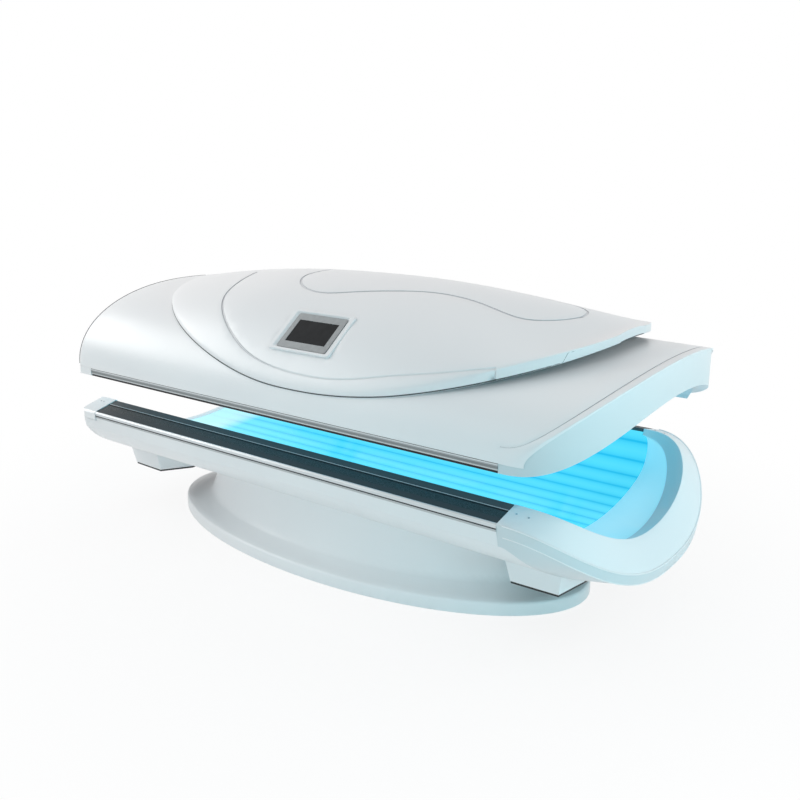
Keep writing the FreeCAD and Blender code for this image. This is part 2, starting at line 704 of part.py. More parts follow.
mirror_limit = angle_at_height(BENCH_FORM, RAIL_LOW_Z - RAIL_ROOM, MIRROR_DROP)
rib_top = [(-RAIL_IN_Y - 30.0, RAIL_LOW_Z + 8.0), (-HALF + 26.0, RAIL_LOW_Z - 8.0)]
ribs = []
for x in RIB_XS:
    rib = bench_crescent(MIRROR_DROP + MIRROR_WALL + SEAT, mirror_limit, SHELL_WALL + SEAT, rib_top, x, x + 6.0)
    for y in (-0.62, -0.42, 0.42, 0.62):
        mid_y = y * HALF
        mid_z = 0.5 * (trough_height(BENCH_FORM, mid_y) - MIRROR_DROP + BENCH_EDGE_Z - (
            0.95 if abs(y) < 0.5 else 0.8) * TUB_DEPTH)
        rib = rib.cut(bar(14.0, V(x - 5.0, mid_y, mid_z), V(1, 0, 0), 20.0))
    for y in (-BEAM_Y, BEAM_Y):
        rib = rib.cut(box(
            x - 5.0, x + 15.0, y - BEAM_WIDTH / 2 - SEAT, y + BEAM_WIDTH / 2 + SEAT,
            BEAM_LOW_Z - SEAT, BEAM_HIGH_Z + SEAT))
    ribs.append(rib)
save("bench_ribs", Part.makeCompound(ribs))

# Bench shell with its rounded stern, post holes and fan holes
shell_x0 = HEAD_X + 20.0
far_x = RAIL_END + FOOT_REACH + 50.0


tub = tub_solid(0.0, shell_x0, far_x, None).cut(tub_solid(SHELL_WALL, shell_x0 - 10.0, far_x + 10.0, CANOPY_Z))
stern = end_prism(RAIL_END - 1.0, UNDER_REACH + 1.0 - SEAT, UNDER_Y - SEAT, 2.4, RAIL_END - 40.0, 0.0, CANOPY_Z)
body = box(HEAD_X - 50.0, RAIL_END - SEAT, -HALF, HALF, 0.0, CANOPY_Z)
tub = tub.common(stern.fuse(body))
for x in (-POST_X, POST_X):
    tub = tub.cut(box(
        x - POST_HALF_X - 1.0, x + POST_HALF_X + 1.0, -POST_HALF_Y - 1.0, POST_HALF_Y + 1.0, 0.0,
        BEAM_LOW_Z - SEAT))
FAN_FRAME_RADIUS = FAN_RADIUS + 10.0
for side in (-1, 1):
    tub = tub.cut(bar(FAN_FRAME_RADIUS + 2.0, V(side * FAN_X, 0, 0), V(0, 0, 1), BEAM_HIGH_Z))
cap_low_z = RAIL_LOW_Z - 12.0 - SEAT
for side in (-1, 1):
    y0, y1 = sorted((side * (HALF - 30.0), side * (HALF + 10.0)))
    tub = tub.cut(box(HEAD_X - 50.0, -RAIL_END + SEAT, y0, y1, cap_low_z, CANOPY_Z))
save("bench_shell", tub)

# Intake housings, grilles and fans
tub_block = tub_solid(-SEAT, HEAD_X - 50.0, far_x, CANOPY_Z)
for name, side in (("head", -1), ("foot", 1)):
    shell_z = HOUSING_LOW_Z + GRILLE_WALL
    outer = housing_loft(side, 0.0, shell_z, TUB_Z + 150.0)
    inner = housing_loft(side, 4.0, shell_z - 1.0, TUB_Z + 160.0)
    outer = outer.cut(pedestal_solid(-1.0, 1.0))
    housing = outer.cut(inner).cut(tub_block)
    save(name + "_housing", housing)

    grille = prism_z(housing_plan(side, 0.0), HOUSING_LOW_Z, shell_z - 0.2)
    grille_mid = side * FAN_X
    slots = []
    for k in range(-5, 6):
        y = k * 17.0
        reach = math.sqrt((FAN_RADIUS + 6.0) ** 2 - y * y)
        slots.append(box(grille_mid - reach, grille_mid + reach, y - 5.0, y + 5.0, 0.0, TUB_Z))
    save(name + "_intake_grille", grille.cut(Part.makeCompound(slots)))

    floor_z = shell_z + 0.1
    axis = V(0, 0, 1)
    frame = bar(FAN_FRAME_RADIUS, V(grille_mid, 0, floor_z), axis, 42.0)
    frame = frame.cut(bar(FAN_RADIUS + 1.5, V(grille_mid, 0, floor_z - 1.0), axis, 60.0))
    hub = bar(30.0, V(grille_mid, 0, floor_z), axis, 8.0)
    arms = []
    for k in range(3):
        arm = box(0.0, FAN_RADIUS + 5.0, -6.0, 6.0, 0.0, 5.0)
        arm.rotate(V(0, 0, 0), axis, 30.0 + 120.0 * k)
        arm.translate(V(grille_mid, 0, floor_z))
        arms.append(arm)
    shaft = bar(4.0, V(grille_mid, 0, floor_z + 8.0), axis, 26.0)
    save(name + "_fan_frame", frame.multiFuse([hub, shaft] + arms))

    rotor_z = floor_z + 9.0
    rotor = bar(32.0, V(grille_mid, 0, rotor_z), axis, 26.0)
    blades = []
    for k in range(7):
        root = loop([V(29.0, -14.0, 3.0), V(29.0, 14.0, 19.0), V(29.0, 12.4, 21.6), V(29.0, -15.6, 5.6)])
        tip = loop([
            V(FAN_RADIUS, -22.0, 8.0), V(FAN_RADIUS, 22.0, 17.0), V(FAN_RADIUS, 21.5, 19.5),
            V(FAN_RADIUS, -22.5, 10.5)])
        blade = Part.makeLoft([root, tip], True, True)
        blade = blade.common(bar(FAN_RADIUS, V(0, 0, 0), axis, 40.0))
        blade.rotate(V(0, 0, 0), axis, 360.0 / 7.0 * k)
        blade.translate(V(grille_mid, 0, rotor_z))
        blades.append(blade)
    rotor = rotor.multiFuse(blades)
    rotor = rotor.cut(bar(4.0 + RUN, V(grille_mid, 0, rotor_z - 1.0), axis, 60.0))
    save(name + "_fan_rotor", rotor)

# Rails, strips and caps; the back ones are cut for the hinges
rail = rail_shape()
strip = strip_shape()
save("front_rail", rail)
save("front_rail_strip", strip)
CHEEK_WALL = 8.0
CHEEK_IN = 44.0
CHEEK_OUT = CHEEK_IN + CHEEK_WALL
notches = []
for x in HINGE_SIDES:
    notches.append(box(x - CHEEK_OUT - 2.0, x + CHEEK_OUT + 2.0, RAIL_IN_Y - 10.0, HALF - 28.0, 0.0, CANOPY_Z))
notch = Part.makeCompound(notches)
save("back_rail", other_side(rail).cut(notch))
save("back_rail_strip", other_side(strip).cut(notch))
cap = cap_shape()
save("front_rail_cap", cap)
save("back_rail_cap", other_side(cap))

# Bench ends, acrylic and light unit
head_panel = bench_crescent(0.0, BENCH_FORM["a2"] - 0.12, 0.0, cap_under(), HEAD_X, HEAD_X + 20.0)
lining = trough_sheet(BENCH_FORM, 0.0, RIM_WALL, math.radians(52.0), HEAD_X + 20.0, ACRYLIC_HEAD_X - SEAT)
head_rim = head_panel.fuse(lining)
save("bench_head_rim", head_rim)
save("bench_foot_rim", rim_shape())

sheet = trough_sheet(BENCH_FORM, 0.0, ACRYLIC_WALL, BENCH_FORM["a2"], ACRYLIC_HEAD_X, RAIL_END + ACRYLIC_FOOT)
sheet_plan = end_prism(
    RAIL_END - SEAT, ACRYLIC_FOOT, TROUGH_EDGE_Y - 4.0 - SEAT, 4.0, -RAIL_END - 0.5, 0.0, CANOPY_Z)
sheet_body = box(ACRYLIC_HEAD_X, RAIL_END - SEAT, -HALF, HALF, 0.0, CANOPY_Z)
head_room = box(HEAD_X, -RAIL_END, -HALF, HALF, BENCH_EDGE_Z - 20.0, CANOPY_Z)
sheet = sheet.common(sheet_plan.fuse(sheet_body)).cut(head_room)
save("bench_acrylic", sheet)

MIRROR_X = RAIL_END + 8.0
save("bench_reflector", trough_sheet(BENCH_FORM, MIRROR_DROP, MIRROR_WALL, mirror_limit, -MIRROR_X, MIRROR_X))


def tube_spots(form, count):
    reach = angle_at_height(form, RAIL_LOW_Z - TUBE_ROOM - TUBE_RADIUS, TUBE_DROP)
    limit = trough_length(form, reach, TUBE_DROP)
    spots = []
    for k in range(count):
        angle = trough_angle(form, limit * (2.0 * k / (count - 1) - 1.0), TUBE_DROP)
        spots.append(angle)
    return spots


def tube_set(form, count):
    tubes = []
    for angle in tube_spots(form, count):
        y, z = trough_point(form, angle, TUBE_DROP)
        tubes.append(bar(TUBE_RADIUS, V(-TUBE_LENGTH / 2, y, z), V(1, 0, 0), TUBE_LENGTH))
    return Part.makeCompound(tubes)


def holder_set(form, count):
    holders = []
    for angle in tube_spots(form, count):
        y, z = trough_point(form, angle, TUBE_DROP)
        turn = math.degrees(angle) * form["flip"]
        deep = MIRROR_DROP - TUBE_DROP - SEAT
        for side in (-1, 1):
            start = side * (TUBE_LENGTH / 2 + SEAT)
            x0, x1 = sorted((start, start + side * 26.0))
            low, high = (-deep, 10.0) if form["flip"] > 0 else (-10.0, deep)
            block = box(x0, x1, -11.0, 11.0, low, high)
            block.rotate(V(0, 0, 0), V(1, 0, 0), turn)
            block.translate(V(0, y, z))
            holders.append(block)
    return Part.makeCompound(holders)


save("bench_tubes", tube_set(BENCH_FORM, BENCH_TUBES))
save("bench_tube_holders", holder_set(BENCH_FORM, BENCH_TUBES))

ballasts = []
ballast_y = BEAM_Y - BEAM_WIDTH / 2
for x in (-0.63, -0.16, 0.16, 0.63):
    for side in (-1, 1):
        y0, y1 = sorted((side * ballast_y, side * (ballast_y - 56.0)))
        ballasts.append(box(
            x * RAIL_END - 95.0, x * RAIL_END + 95.0, y0, y1, BEAM_LOW_Z + 1.0, BEAM_HIGH_Z - 2.0))
save("bench_ballasts", Part.makeCompound(ballasts))

# Hinges: brackets on the back rail, arms on the canopy, gas springs between them.
# The spring's two pins lie on one circle round the hinge, so the spring swings by half the lift.
spring_top = (HALF - 73.0, CANOPY_BASE_Z + 25.0)
spring_arm = math.hypot(spring_top[0] - HINGE_Y, spring_top[1] - HINGE_Z)
SPRING_FOOT_ANGLE = math.radians(235.0)
spring_foot = (
    HINGE_Y + spring_arm * math.cos(SPRING_FOOT_ANGLE), HINGE_Z + spring_arm * math.sin(SPRING_FOOT_ANGLE))
SPRING_PIN_RADIUS = 6.0
ARM_OUT = CHEEK_IN - SIDE
ARM_IN = ARM_OUT - 8.0
BUSH_RADIUS = 11.0


def across(radius, x0, x1, y, z):
    return bar(radius, V(x0, y, z), V(1, 0, 0), x1 - x0)


def rail_top(y):
    return on_rail((HALF - 2.0 - abs(y)) / RAIL_RUN[0], 0.0)[1]


brackets = []
arms = []
hinge_pins = []
foot_pins = []
top_pins = []
bushes = []
foot_y, foot_z = spring_foot
top_y, top_z = spring_top
BEAM_TOP_LOW_Z = CANOPY_BASE_Z + 35.0
BACK_BEAM_Y = HALF - 62.0
BACK_BEAM_WIDTH = 34.0
for x in HINGE_SIDES:
    cheek = [
        (foot_y - 16.0, foot_z - 14.0), (foot_y + 16.0, foot_z - 14.0), (foot_y + 40.0, rail_top(HALF - 40.0) + 8.0),
        (HINGE_Y + 18.0, HINGE_Z - 8.0), (HINGE_Y + 18.0, HINGE_Z + 10.0), (HINGE_Y + 10.0, HINGE_Z + 18.0),
        (HINGE_Y - 12.0, HINGE_Z + 18.0), (foot_y - 4.0, foot_z + 50.0), (foot_y - 16.0, foot_z + 20.0)]
    pieces = []
    for side in (-1, 1):
        x0, x1 = sorted((x + side * CHEEK_IN, x + side * CHEEK_OUT))
        pieces.append(prism_x(cheek, x0, x1))
        x2, x3 = sorted((x + side * (CHEEK_OUT - 0.5), x + side * (CHEEK_OUT + 34.0)))
        y0 = HALF - 68.0
        y1 = HALF - 32.0
        foot = [
            (y0, rail_top(y0) + 0.2), (y1, rail_top(y1) + 0.2), (y1, rail_top(y1) + 7.0),
            (y0, rail_top(y0) + 7.0)]
        pieces.append(prism_x(foot, x2, x3))
    web = [
        (HALF - 46.0, rail_top(HALF - 46.0) + 12.0), (HALF - 40.0, rail_top(HALF - 40.0) + 12.0),
        (HALF - 30.0, HINGE_Z - 38.0), (HALF - 36.0, HINGE_Z - 38.0)]
    pieces.append(prism_x(web, x - CHEEK_IN - 0.5, x + CHEEK_IN + 0.5))
    bracket = pieces[0].multiFuse(pieces[1:])
    bracket = bracket.cut(across(HINGE_PIN_RADIUS + 0.02, x - 80.0, x + 80.0, HINGE_Y, HINGE_Z))
    bracket = bracket.cut(across(SPRING_PIN_RADIUS + 0.02, x - 80.0, x + 80.0, foot_y, foot_z))
    brackets.append(bracket)

    arm_side = [
        (HINGE_Y - 17.0, HINGE_Z - 4.0), (HINGE_Y + 17.0, HINGE_Z - 4.0), (HINGE_Y + 12.0, HINGE_Z + 30.0),
        (HALF - 16.0, CANOPY_BASE_Z - 10.0), (BACK_BEAM_Y + BACK_BEAM_WIDTH, BEAM_TOP_LOW_Z - SEAT),
        (BACK_BEAM_Y, BEAM_TOP_LOW_Z - SEAT), (top_y - 8.0, top_z + 9.0), (top_y - 13.0, top_z - 4.0),
        (top_y - 4.0, top_z - 14.0)]
    for side in (-1, 1):
        x0, x1 = sorted((x + side * ARM_IN, x + side * ARM_OUT))
        plate = prism_x(arm_side, x0, x1).fuse(across(17.0, x0, x1, HINGE_Y, HINGE_Z))
        plate = plate.cut(across(BUSH_RADIUS + 0.02, x0 - 1.0, x1 + 1.0, HINGE_Y, HINGE_Z))
        plate = plate.cut(across(SPRING_PIN_RADIUS + 0.02, x0 - 1.0, x1 + 1.0, top_y, top_z))
        arms.append(plate)
        bush = across(BUSH_RADIUS, x0, x1, HINGE_Y, HINGE_Z)
        bushes.append(bush.cut(across(HINGE_PIN_RADIUS + RUN, x0 - 1.0, x1 + 1.0, HINGE_Y, HINGE_Z)))
    pad = box(
        x - ARM_IN - 0.5, x + ARM_IN + 0.5, BACK_BEAM_Y + 6.0, BACK_BEAM_Y + BACK_BEAM_WIDTH,
        BEAM_TOP_LOW_Z - SEAT - 6.0, BEAM_TOP_LOW_Z - SEAT)
    arms[-2] = arms[-2].multiFuse([arms[-1], pad])
    arms.pop()

    pin = across(HINGE_PIN_RADIUS, x - CHEEK_OUT - 2.0, x + CHEEK_OUT + 2.0, HINGE_Y, HINGE_Z)
    for side in (-1, 1):
        x0, x1 = sorted((x + side * (CHEEK_OUT + 0.2), x + side * (CHEEK_OUT + 5.0)))
        pin = pin.fuse(across(HINGE_PIN_RADIUS + 4.0, x0, x1, HINGE_Y, HINGE_Z))
    hinge_pins.append(pin)
    foot_pins.append(across(SPRING_PIN_RADIUS, x - CHEEK_OUT, x + CHEEK_OUT, foot_y, foot_z))
    top_pins.append(across(SPRING_PIN_RADIUS, x - ARM_OUT, x + ARM_OUT, top_y, top_z))
save("hinge_brackets", Part.makeCompound(brackets))
save("hinge_pins", Part.makeCompound(hinge_pins))
save("canopy_arms", Part.makeCompound(arms))
save("hinge_bushes", Part.makeCompound(bushes))
save("spring_foot_pins", Part.makeCompound(foot_pins))
save("spring_top_pins", Part.makeCompound(top_pins))

spring_length = math.hypot(top_y - foot_y, top_z - foot_z)
spring_run = V(0, (top_y - foot_y) / spring_length, (top_z - foot_z) / spring_length)
TUBE_TO = 0.68 * spring_length
for name, x in (("head", -HINGE_X), ("foot", HINGE_X)):
    foot = V(x, foot_y, foot_z)
    top = V(x, top_y, top_z)
    tube = bar(13.0, foot + spring_run * 16.0, spring_run, TUBE_TO - 16.0)
    tube = tube.cut(bar(10.0, foot + spring_run * 22.0, spring_run, TUBE_TO - 30.0))
    tube = tube.cut(bar(6.3, foot + spring_run * 22.0, spring_run, TUBE_TO))
    eye = across(12.0, x - 10.0, x + 10.0, foot_y, foot_z)
    neck = bar(7.0, foot, spring_run, 18.0)
    cylinder = tube.multiFuse([eye, neck])
    cylinder = cylinder.cut(across(SPRING_PIN_RADIUS + RUN, x - 20.0, x + 20.0, foot_y, foot_z))
    save("spring_cylinder_" + name, cylinder)
    rod_from = 0.16 * spring_length
    rod = bar(6.0, foot + spring_run * rod_from, spring_run, spring_length - rod_from)
    piston = bar(9.6, foot + spring_run * rod_from, spring_run, 10.0)
    eye = across(12.0, x - 10.0, x + 10.0, top_y, top_z)
    rod = rod.multiFuse([piston, eye])
    rod = rod.cut(across(SPRING_PIN_RADIUS + RUN, x - 20.0, x + 20.0, top_y, top_z))
    save("spring_rod_" + name, rod)

# Canopy shell with a rounded head edge and a rounded foot end
foot_x = RAIL_END + CANOPY_REACH
CANOPY_WALL = 6.0
END_POWER = 2.6
outer_stations = [
    (HEAD_X, 0.0, 0.0, 0.968), (HEAD_X + 5.0, 0.0, 0.0, 0.984), (HEAD_X + 14.0, 0.0, 0.0, 0.995),
    (HEAD_X + 26.0, 0.0, 0.0, 1.0), (foot_x + 30.0, 0.0, 0.0, 1.0)]
inner_stations = [(HEAD_X - 5.0, CANOPY_WALL, 0.0, 0.968), (HEAD_X + 26.0, CANOPY_WALL, 0.0, 1.0),
                  (foot_x + 35.0, CANOPY_WALL, 0.0, 1.0)]
arch = arch_solid(outer_stations, CANOPY_BASE_Z)
canopy = arch.cut(arch_solid(inner_stations, CANOPY_BASE_Z - 10.0))
canopy = canopy.common(end_prism(RAIL_END, CANOPY_REACH, HALF + 1.0, END_POWER, HEAD_X - 10.0, 0.0, 2.0 * CANOPY_Z))
# Shadow groove that follows the foot edge
EDGE_BAND = 26.0
EDGE_GROOVE = 4.0
EDGE_DEPTH = 2.0
side_band = HALF - 7.0
ring = end_prism(RAIL_END, CANOPY_REACH - EDGE_BAND, side_band, END_POWER, RAIL_END - 40.0, 0.0, 2.0 * CANOPY_Z)
ring = ring.cut(end_prism(
    RAIL_END, CANOPY_REACH - EDGE_BAND - EDGE_GROOVE, side_band - 1.0, END_POWER, RAIL_END - 40.0, 0.0,
    2.0 * CANOPY_Z))
ring = ring.cut(box(RAIL_END - 60.0, RAIL_END + 2.0, -HALF, HALF, 0.0, 2.0 * CANOPY_Z))
under_groove = arch_solid(
    [(RAIL_END - 10.0, EDGE_DEPTH, 0.0, 1.0), (foot_x + 35.0, EDGE_DEPTH, 0.0, 1.0)], CANOPY_BASE_Z - 20.0)
canopy = canopy.cut(ring.cut(under_groove))
save("canopy_shell", canopy)

# Top cover: outer loft less inner loft, lower edge laid on the canopy shell, lifted at the foot end
LIFT_X = COVER_MID_X + 420.0
seat_stations = [
    (HEAD_X - 5.0, 0.0, SEAT, 1.0), (LIFT_X, 0.0, SEAT, 1.0), (foot_x + 30.0, 0.0, 46.0, 1.0)]
cover_seat = arch_solid(seat_stations, CANOPY_BASE_Z - 60.0)
cover = cover_solid(0.0, CANOPY_BASE_Z - 30.0).cut(cover_solid(SHELL_WALL, CANOPY_BASE_Z - 40.0)).cut(cover_seat)

GROOVE_WIDTH = 9.0
GROOVE_DEPTH = 2.5
STEEP_SHARE = 0.65           # narrower in plan where the slope is steep
# Swirl lines in plan, as shares of the cover's half length and half width
SWIRL = (
    (-0.623, -0.107), (-0.583, -0.352), (-0.544, -0.550), (-0.464, -0.699), (-0.358, -0.815), (-0.236, -0.90),
    (-0.096, -0.944), (0.025, -0.956), (0.153, -0.957), (0.265, -0.943), (0.389, -0.910), (0.494, -0.881),
    (0.605, -0.845), (0.70, -0.80), (0.76, -0.765))
PETAL = (
    (-0.292, 0.0), (-0.304, -0.09), (-0.306, -0.19), (-0.28, -0.285), (-0.218, -0.373), (-0.154, -0.411),
    (-0.087, -0.417), (0.019, -0.372), (0.183, -0.292), (0.289, -0.242), (0.402, -0.222), (0.510, -0.241),
    (0.62, -0.288), (0.70, -0.295), (0.765, -0.225), (0.805, -0.11), (0.818, 0.0))


def swirl_band(path, width):
    mid = [V(COVER_MID_X + u * COVER_A, v * COVER_B, 0.0) for u, v in path]
    curve = spline(mid)
    left = []
    right = []
    for spot in mid:
        run = curve.tangent(curve.parameter(spot))[0]
        normal = V(-run.y, run.x, 0.0)
        steep = abs(spot.y / COVER_B) ** 6
        near = width * (1.0 - STEEP_SHARE * steep) / 2
        left.append(spot + normal * near)
        right.append(spot - normal * near)
    wire = Part.Wire([
        spline(left).toShape(), line(left[-1], right[-1]), spline(list(reversed(right))).toShape(),
        line(right[0], left[0])])
    return Part.Face(wire).extrude(V(0, 0, 2.0 * COVER_TOP_Z))


below_groove = cover_solid(GROOVE_DEPTH, CANOPY_BASE_Z - 50.0)
for path in (SWIRL, PETAL):
    for band in both_sides(swirl_band(path, GROOVE_WIDTH)):
        cover = cover.cut(band.cut(below_groove))

# Display in the front slope of the cover
SCREEN_X = COVER_MID_X + 10.0
SCREEN_Y = -0.724 * HALF
SLOPE = 36.8


def cover_height(x, y):
    half = cover_half(x)
    low = arch_height(x, half) + cover_edge(x)
    return low + (cover_ridge(x, low) - low) * crown_share(y / half)


SCREEN_Z = cover_height(SCREEN_X, SCREEN_Y)


def tilted(shape):
    shape.rotate(V(0, 0, 0), V(1, 0, 0), SLOPE)
    shape.translate(V(SCREEN_X, SCREEN_Y, SCREEN_Z))
    return shape


def rounded_block(width, height, radius, z0, z1):
    block = box(-width / 2, width / 2, -height / 2, height / 2, z0, z1)
    edges = []
    for edge in block.Edges:
        spots = [v.Point for v in edge.Vertexes]
        if abs(spots[0].z - spots[1].z) > 0.1:
            edges.append(edge)
    return block.makeFillet(radius, edges)


BEZEL_WIDTH = SCREEN_WIDTH + 100.0
BEZEL_HEIGHT = SCREEN_HEIGHT + 88.0
FRAME_WIDTH = SCREEN_WIDTH + 42.0
FRAME_HEIGHT = SCREEN_HEIGHT + 58.0
bezel_low = rounded_block(BEZEL_WIDTH, BEZEL_HEIGHT, 14.0, -26.0, 3.0)
bezel_top = bezel_low.Faces[0]
for face in bezel_low.Faces:
    if face.CenterOfMass.z > bezel_top.CenterOfMass.z:
        bezel_top = face
bezel = bezel_low.makeChamfer(2.5, bezel_top.Edges)
pocket = Part.makeLoft([
    Part.Wire(rounded_block(FRAME_WIDTH, FRAME_HEIGHT, 6.0, -6.0, 0.0).section(
        Part.makePlane(900.0, 900.0, V(-450.0, -450.0, -6.0))).Edges),
    Part.Wire(rounded_block(FRAME_WIDTH + 26.0, FRAME_HEIGHT + 12.0, 8.0, -6.0, 6.0).section(
        Part.makePlane(900.0, 900.0, V(-450.0, -450.0, 4.0))).Edges)], True, True)
bezel = bezel.cut(pocket)
bezel = bezel.cut(rounded_block(FRAME_WIDTH - 14.0, FRAME_HEIGHT - 14.0, 4.0, -40.0, 10.0))
hole = rounded_block(BEZEL_WIDTH + 2.0 * SEAT, BEZEL_HEIGHT + 2.0 * SEAT, 14.0, -60.0, 80.0)
cover = cover.cut(tilted(hole))
save("canopy_cover", cover)
save("display_bezel", tilted(bezel))
frame = rounded_block(FRAME_WIDTH - 2.0 * SEAT, FRAME_HEIGHT - 2.0 * SEAT, 6.0, -5.7, -1.5)
frame = frame.cut(box(
    -SCREEN_WIDTH / 2 - SEAT, SCREEN_WIDTH / 2 + SEAT, -SCREEN_HEIGHT / 2 - SEAT, SCREEN_HEIGHT / 2 + SEAT,
    -20.0, 20.0))
save("display_frame", tilted(frame))
glass = box(
    -SCREEN_WIDTH / 2, SCREEN_WIDTH / 2, -SCREEN_HEIGHT / 2, SCREEN_HEIGHT / 2, -10.0, -2.2)
save("display_glass", tilted(glass))

# Canopy rails, seals, caps and end panels
canopy_section = [
    (-HALF, CANOPY_BASE_Z - SEAT), (-HALF, CANOPY_Z + 4.0), (-HALF + 5.0, CANOPY_Z), (-RAIL_IN_Y - 2.0, CANOPY_Z + 4.0),
    (-RAIL_IN_Y + 1.7, CANOPY_Z + 8.0), (-RAIL_IN_Y + 1.7, CANOPY_Z + 18.0), (-HALF + 60.0, CANOPY_BASE_Z - 3.0),
    (-HALF + 12.0, CANOPY_BASE_Z - SEAT)]
canopy_chamber = [
    (-HALF + 4.0, CANOPY_BASE_Z - 4.0), (-HALF + 4.0, CANOPY_Z + 7.0), (-HALF + 8.0, CANOPY_Z + 4.0),
    (-RAIL_IN_Y - 6.0, CANOPY_Z + 8.0), (-RAIL_IN_Y - 6.0, CANOPY_Z + 15.0), (-HALF + 58.0, CANOPY_BASE_Z - 7.0)]
canopy_rail = prism_x(canopy_section, -RAIL_END + SEAT, RAIL_END - SEAT)
canopy_rail = canopy_rail.cut(prism_x(canopy_chamber, -RAIL_END - 1.0, RAIL_END + 1.0))
line_cut = box(-RAIL_END - 1.0, RAIL_END + 1.0, -HALF - 1.0, -HALF + 1.2, CANOPY_Z + 7.0, CANOPY_Z + 8.5)
canopy_rail = canopy_rail.cut(line_cut)
seal = prism_x([
    (-HALF + 4.0, CANOPY_Z - 5.0), (-HALF + 20.0, CANOPY_Z - 5.0), (-HALF + 20.0, CANOPY_Z - SEAT),
    (-HALF + 5.5, CANOPY_Z - SEAT)], -RAIL_END + SEAT, RAIL_END - SEAT)
arm_notches = []
for x in HINGE_SIDES:
    arm_notches.append(box(
        x - ARM_OUT - 4.0, x + ARM_OUT + 4.0, RAIL_IN_Y + 12.0, HALF + 20.0, CANOPY_Z - 20.0, CANOPY_BASE_Z))
arm_notch = Part.makeCompound(arm_notches)
save("canopy_front_rail", canopy_rail)
save("canopy_back_rail", other_side(canopy_rail).cut(arm_notch))
save("canopy_front_seal", seal)
save("canopy_back_seal", other_side(seal).cut(arm_notch))
canopy_cap = prism_x([
    (-HALF - 1.5, CANOPY_BASE_Z - SEAT), (-HALF - 1.5, CANOPY_Z), (-HALF + 5.0, CANOPY_Z - 6.0),
    (-RAIL_IN_Y, CANOPY_Z), (-RAIL_IN_Y + 5.0, CANOPY_Z + 8.0), (-RAIL_IN_Y + 5.0, CANOPY_Z + 17.0),
    (-HALF + 60.0, CANOPY_BASE_Z - 3.0), (-HALF + 12.0, CANOPY_BASE_Z - SEAT)], HEAD_X, -RAIL_END)
canopy_cap = rounded_head(canopy_cap, HALF + 1.5, 26.0, HEAD_X, CANOPY_Z - 20.0, CANOPY_BASE_Z)
save("canopy_front_cap", canopy_cap)
save("canopy_back_cap", other_side(canopy_cap))

canopy_limit = CANOPY_FORM["a2"]
panel_side = [(-RAIL_IN_Y - 4.0, CANOPY_Z + 21.0), (-HALF + 60.0, CANOPY_BASE_Z - 1.0)]
panel = canopy_crescent(0.0, canopy_limit - 0.1, CANOPY_WALL + SEAT, panel_side, HEAD_X + 26.0, HEAD_X + 44.0)
save("canopy_head_panel", panel)

sheet = trough_sheet(CANOPY_FORM, 0.0, ACRYLIC_WALL, canopy_limit, HEAD_X + 44.0 + SEAT, RAIL_END - SEAT)
head_block = box(HEAD_X, -RAIL_END, -HALF, HALF, CANOPY_Z - 20.0, CANOPY_Z + 22.0)
save("canopy_acrylic", sheet.cut(head_block))
canopy_mirror_y = spring_top[0] - SPRING_ROOM
canopy_mirror_limit = angle_at_width(CANOPY_FORM, canopy_mirror_y, MIRROR_DROP)
mirror = trough_sheet(CANOPY_FORM, MIRROR_DROP, MIRROR_WALL, canopy_mirror_limit, -MIRROR_X + 20.0, RAIL_END - 4.0)
save("canopy_reflector", mirror)


def canopy_spots():
    reach = angle_at_width(CANOPY_FORM, canopy_mirror_y - SPRING_ROOM - TUBE_RADIUS, TUBE_DROP)
    limit = trough_length(CANOPY_FORM, reach, TUBE_DROP)
    return [trough_angle(CANOPY_FORM, limit * (2.0 * k / (CANOPY_TUBES - 1) - 1.0), TUBE_DROP)
            for k in range(CANOPY_TUBES)]


tubes = []
holders = []
for angle in canopy_spots():
    y, z = trough_point(CANOPY_FORM, angle, TUBE_DROP)
    tubes.append(bar(TUBE_RADIUS, V(-TUBE_LENGTH / 2, y, z), V(1, 0, 0), TUBE_LENGTH))
    for side in (-1, 1):
        start = side * (TUBE_LENGTH / 2 + SEAT)
        x0, x1 = sorted((start, start + side * 26.0))
        block = box(x0, x1, -11.0, 11.0, -10.0, MIRROR_DROP - TUBE_DROP - SEAT)
        block.rotate(V(0, 0, 0), V(1, 0, 0), -math.degrees(angle))
        block.translate(V(0, y, z))
        holders.append(block)
save("canopy_tubes", Part.makeCompound(tubes))
save("canopy_tube_holders", Part.makeCompound(holders))

# Canopy frame: two long beams and four ribs
long_beams = []
for side in (-1, 1):
    y0, y1 = sorted((side * BACK_BEAM_Y, side * (BACK_BEAM_Y + BACK_BEAM_WIDTH)))
    tube = box(HEAD_X + 46.0, RAIL_END - 4.0, y0, y1, BEAM_TOP_LOW_Z, BEAM_TOP_LOW_Z + 36.0)
    tube = tube.cut(box(HEAD_X, RAIL_END, y0 + 3.0, y1 - 3.0, BEAM_TOP_LOW_Z + 3.0, BEAM_TOP_LOW_Z + 33.0))
    long_beams.append(tube)
save("canopy_beams", Part.makeCompound(long_beams))
rib_side = [(-BACK_BEAM_Y + 6.0, CANOPY_BASE_Z + 22.0), (-HALF + 24.0, CANOPY_BASE_Z + 14.0)]
ribs = []
for x in RIB_XS:
    rib = canopy_crescent(
        MIRROR_DROP + MIRROR_WALL + SEAT, canopy_mirror_limit, CANOPY_WALL + 2.0 * SEAT, rib_side, x, x + 6.0)
    for side in (-1, 1):
        y0, y1 = sorted((side * (BACK_BEAM_Y - SEAT), side * (BACK_BEAM_Y + BACK_BEAM_WIDTH + SEAT)))
        rib = rib.cut(box(x - 5.0, x + 15.0, y0, y1, BEAM_TOP_LOW_Z - SEAT, BEAM_TOP_LOW_Z + 36.0 + SEAT))
    ribs.append(rib)
save("canopy_ribs", Part.makeCompound(ribs))


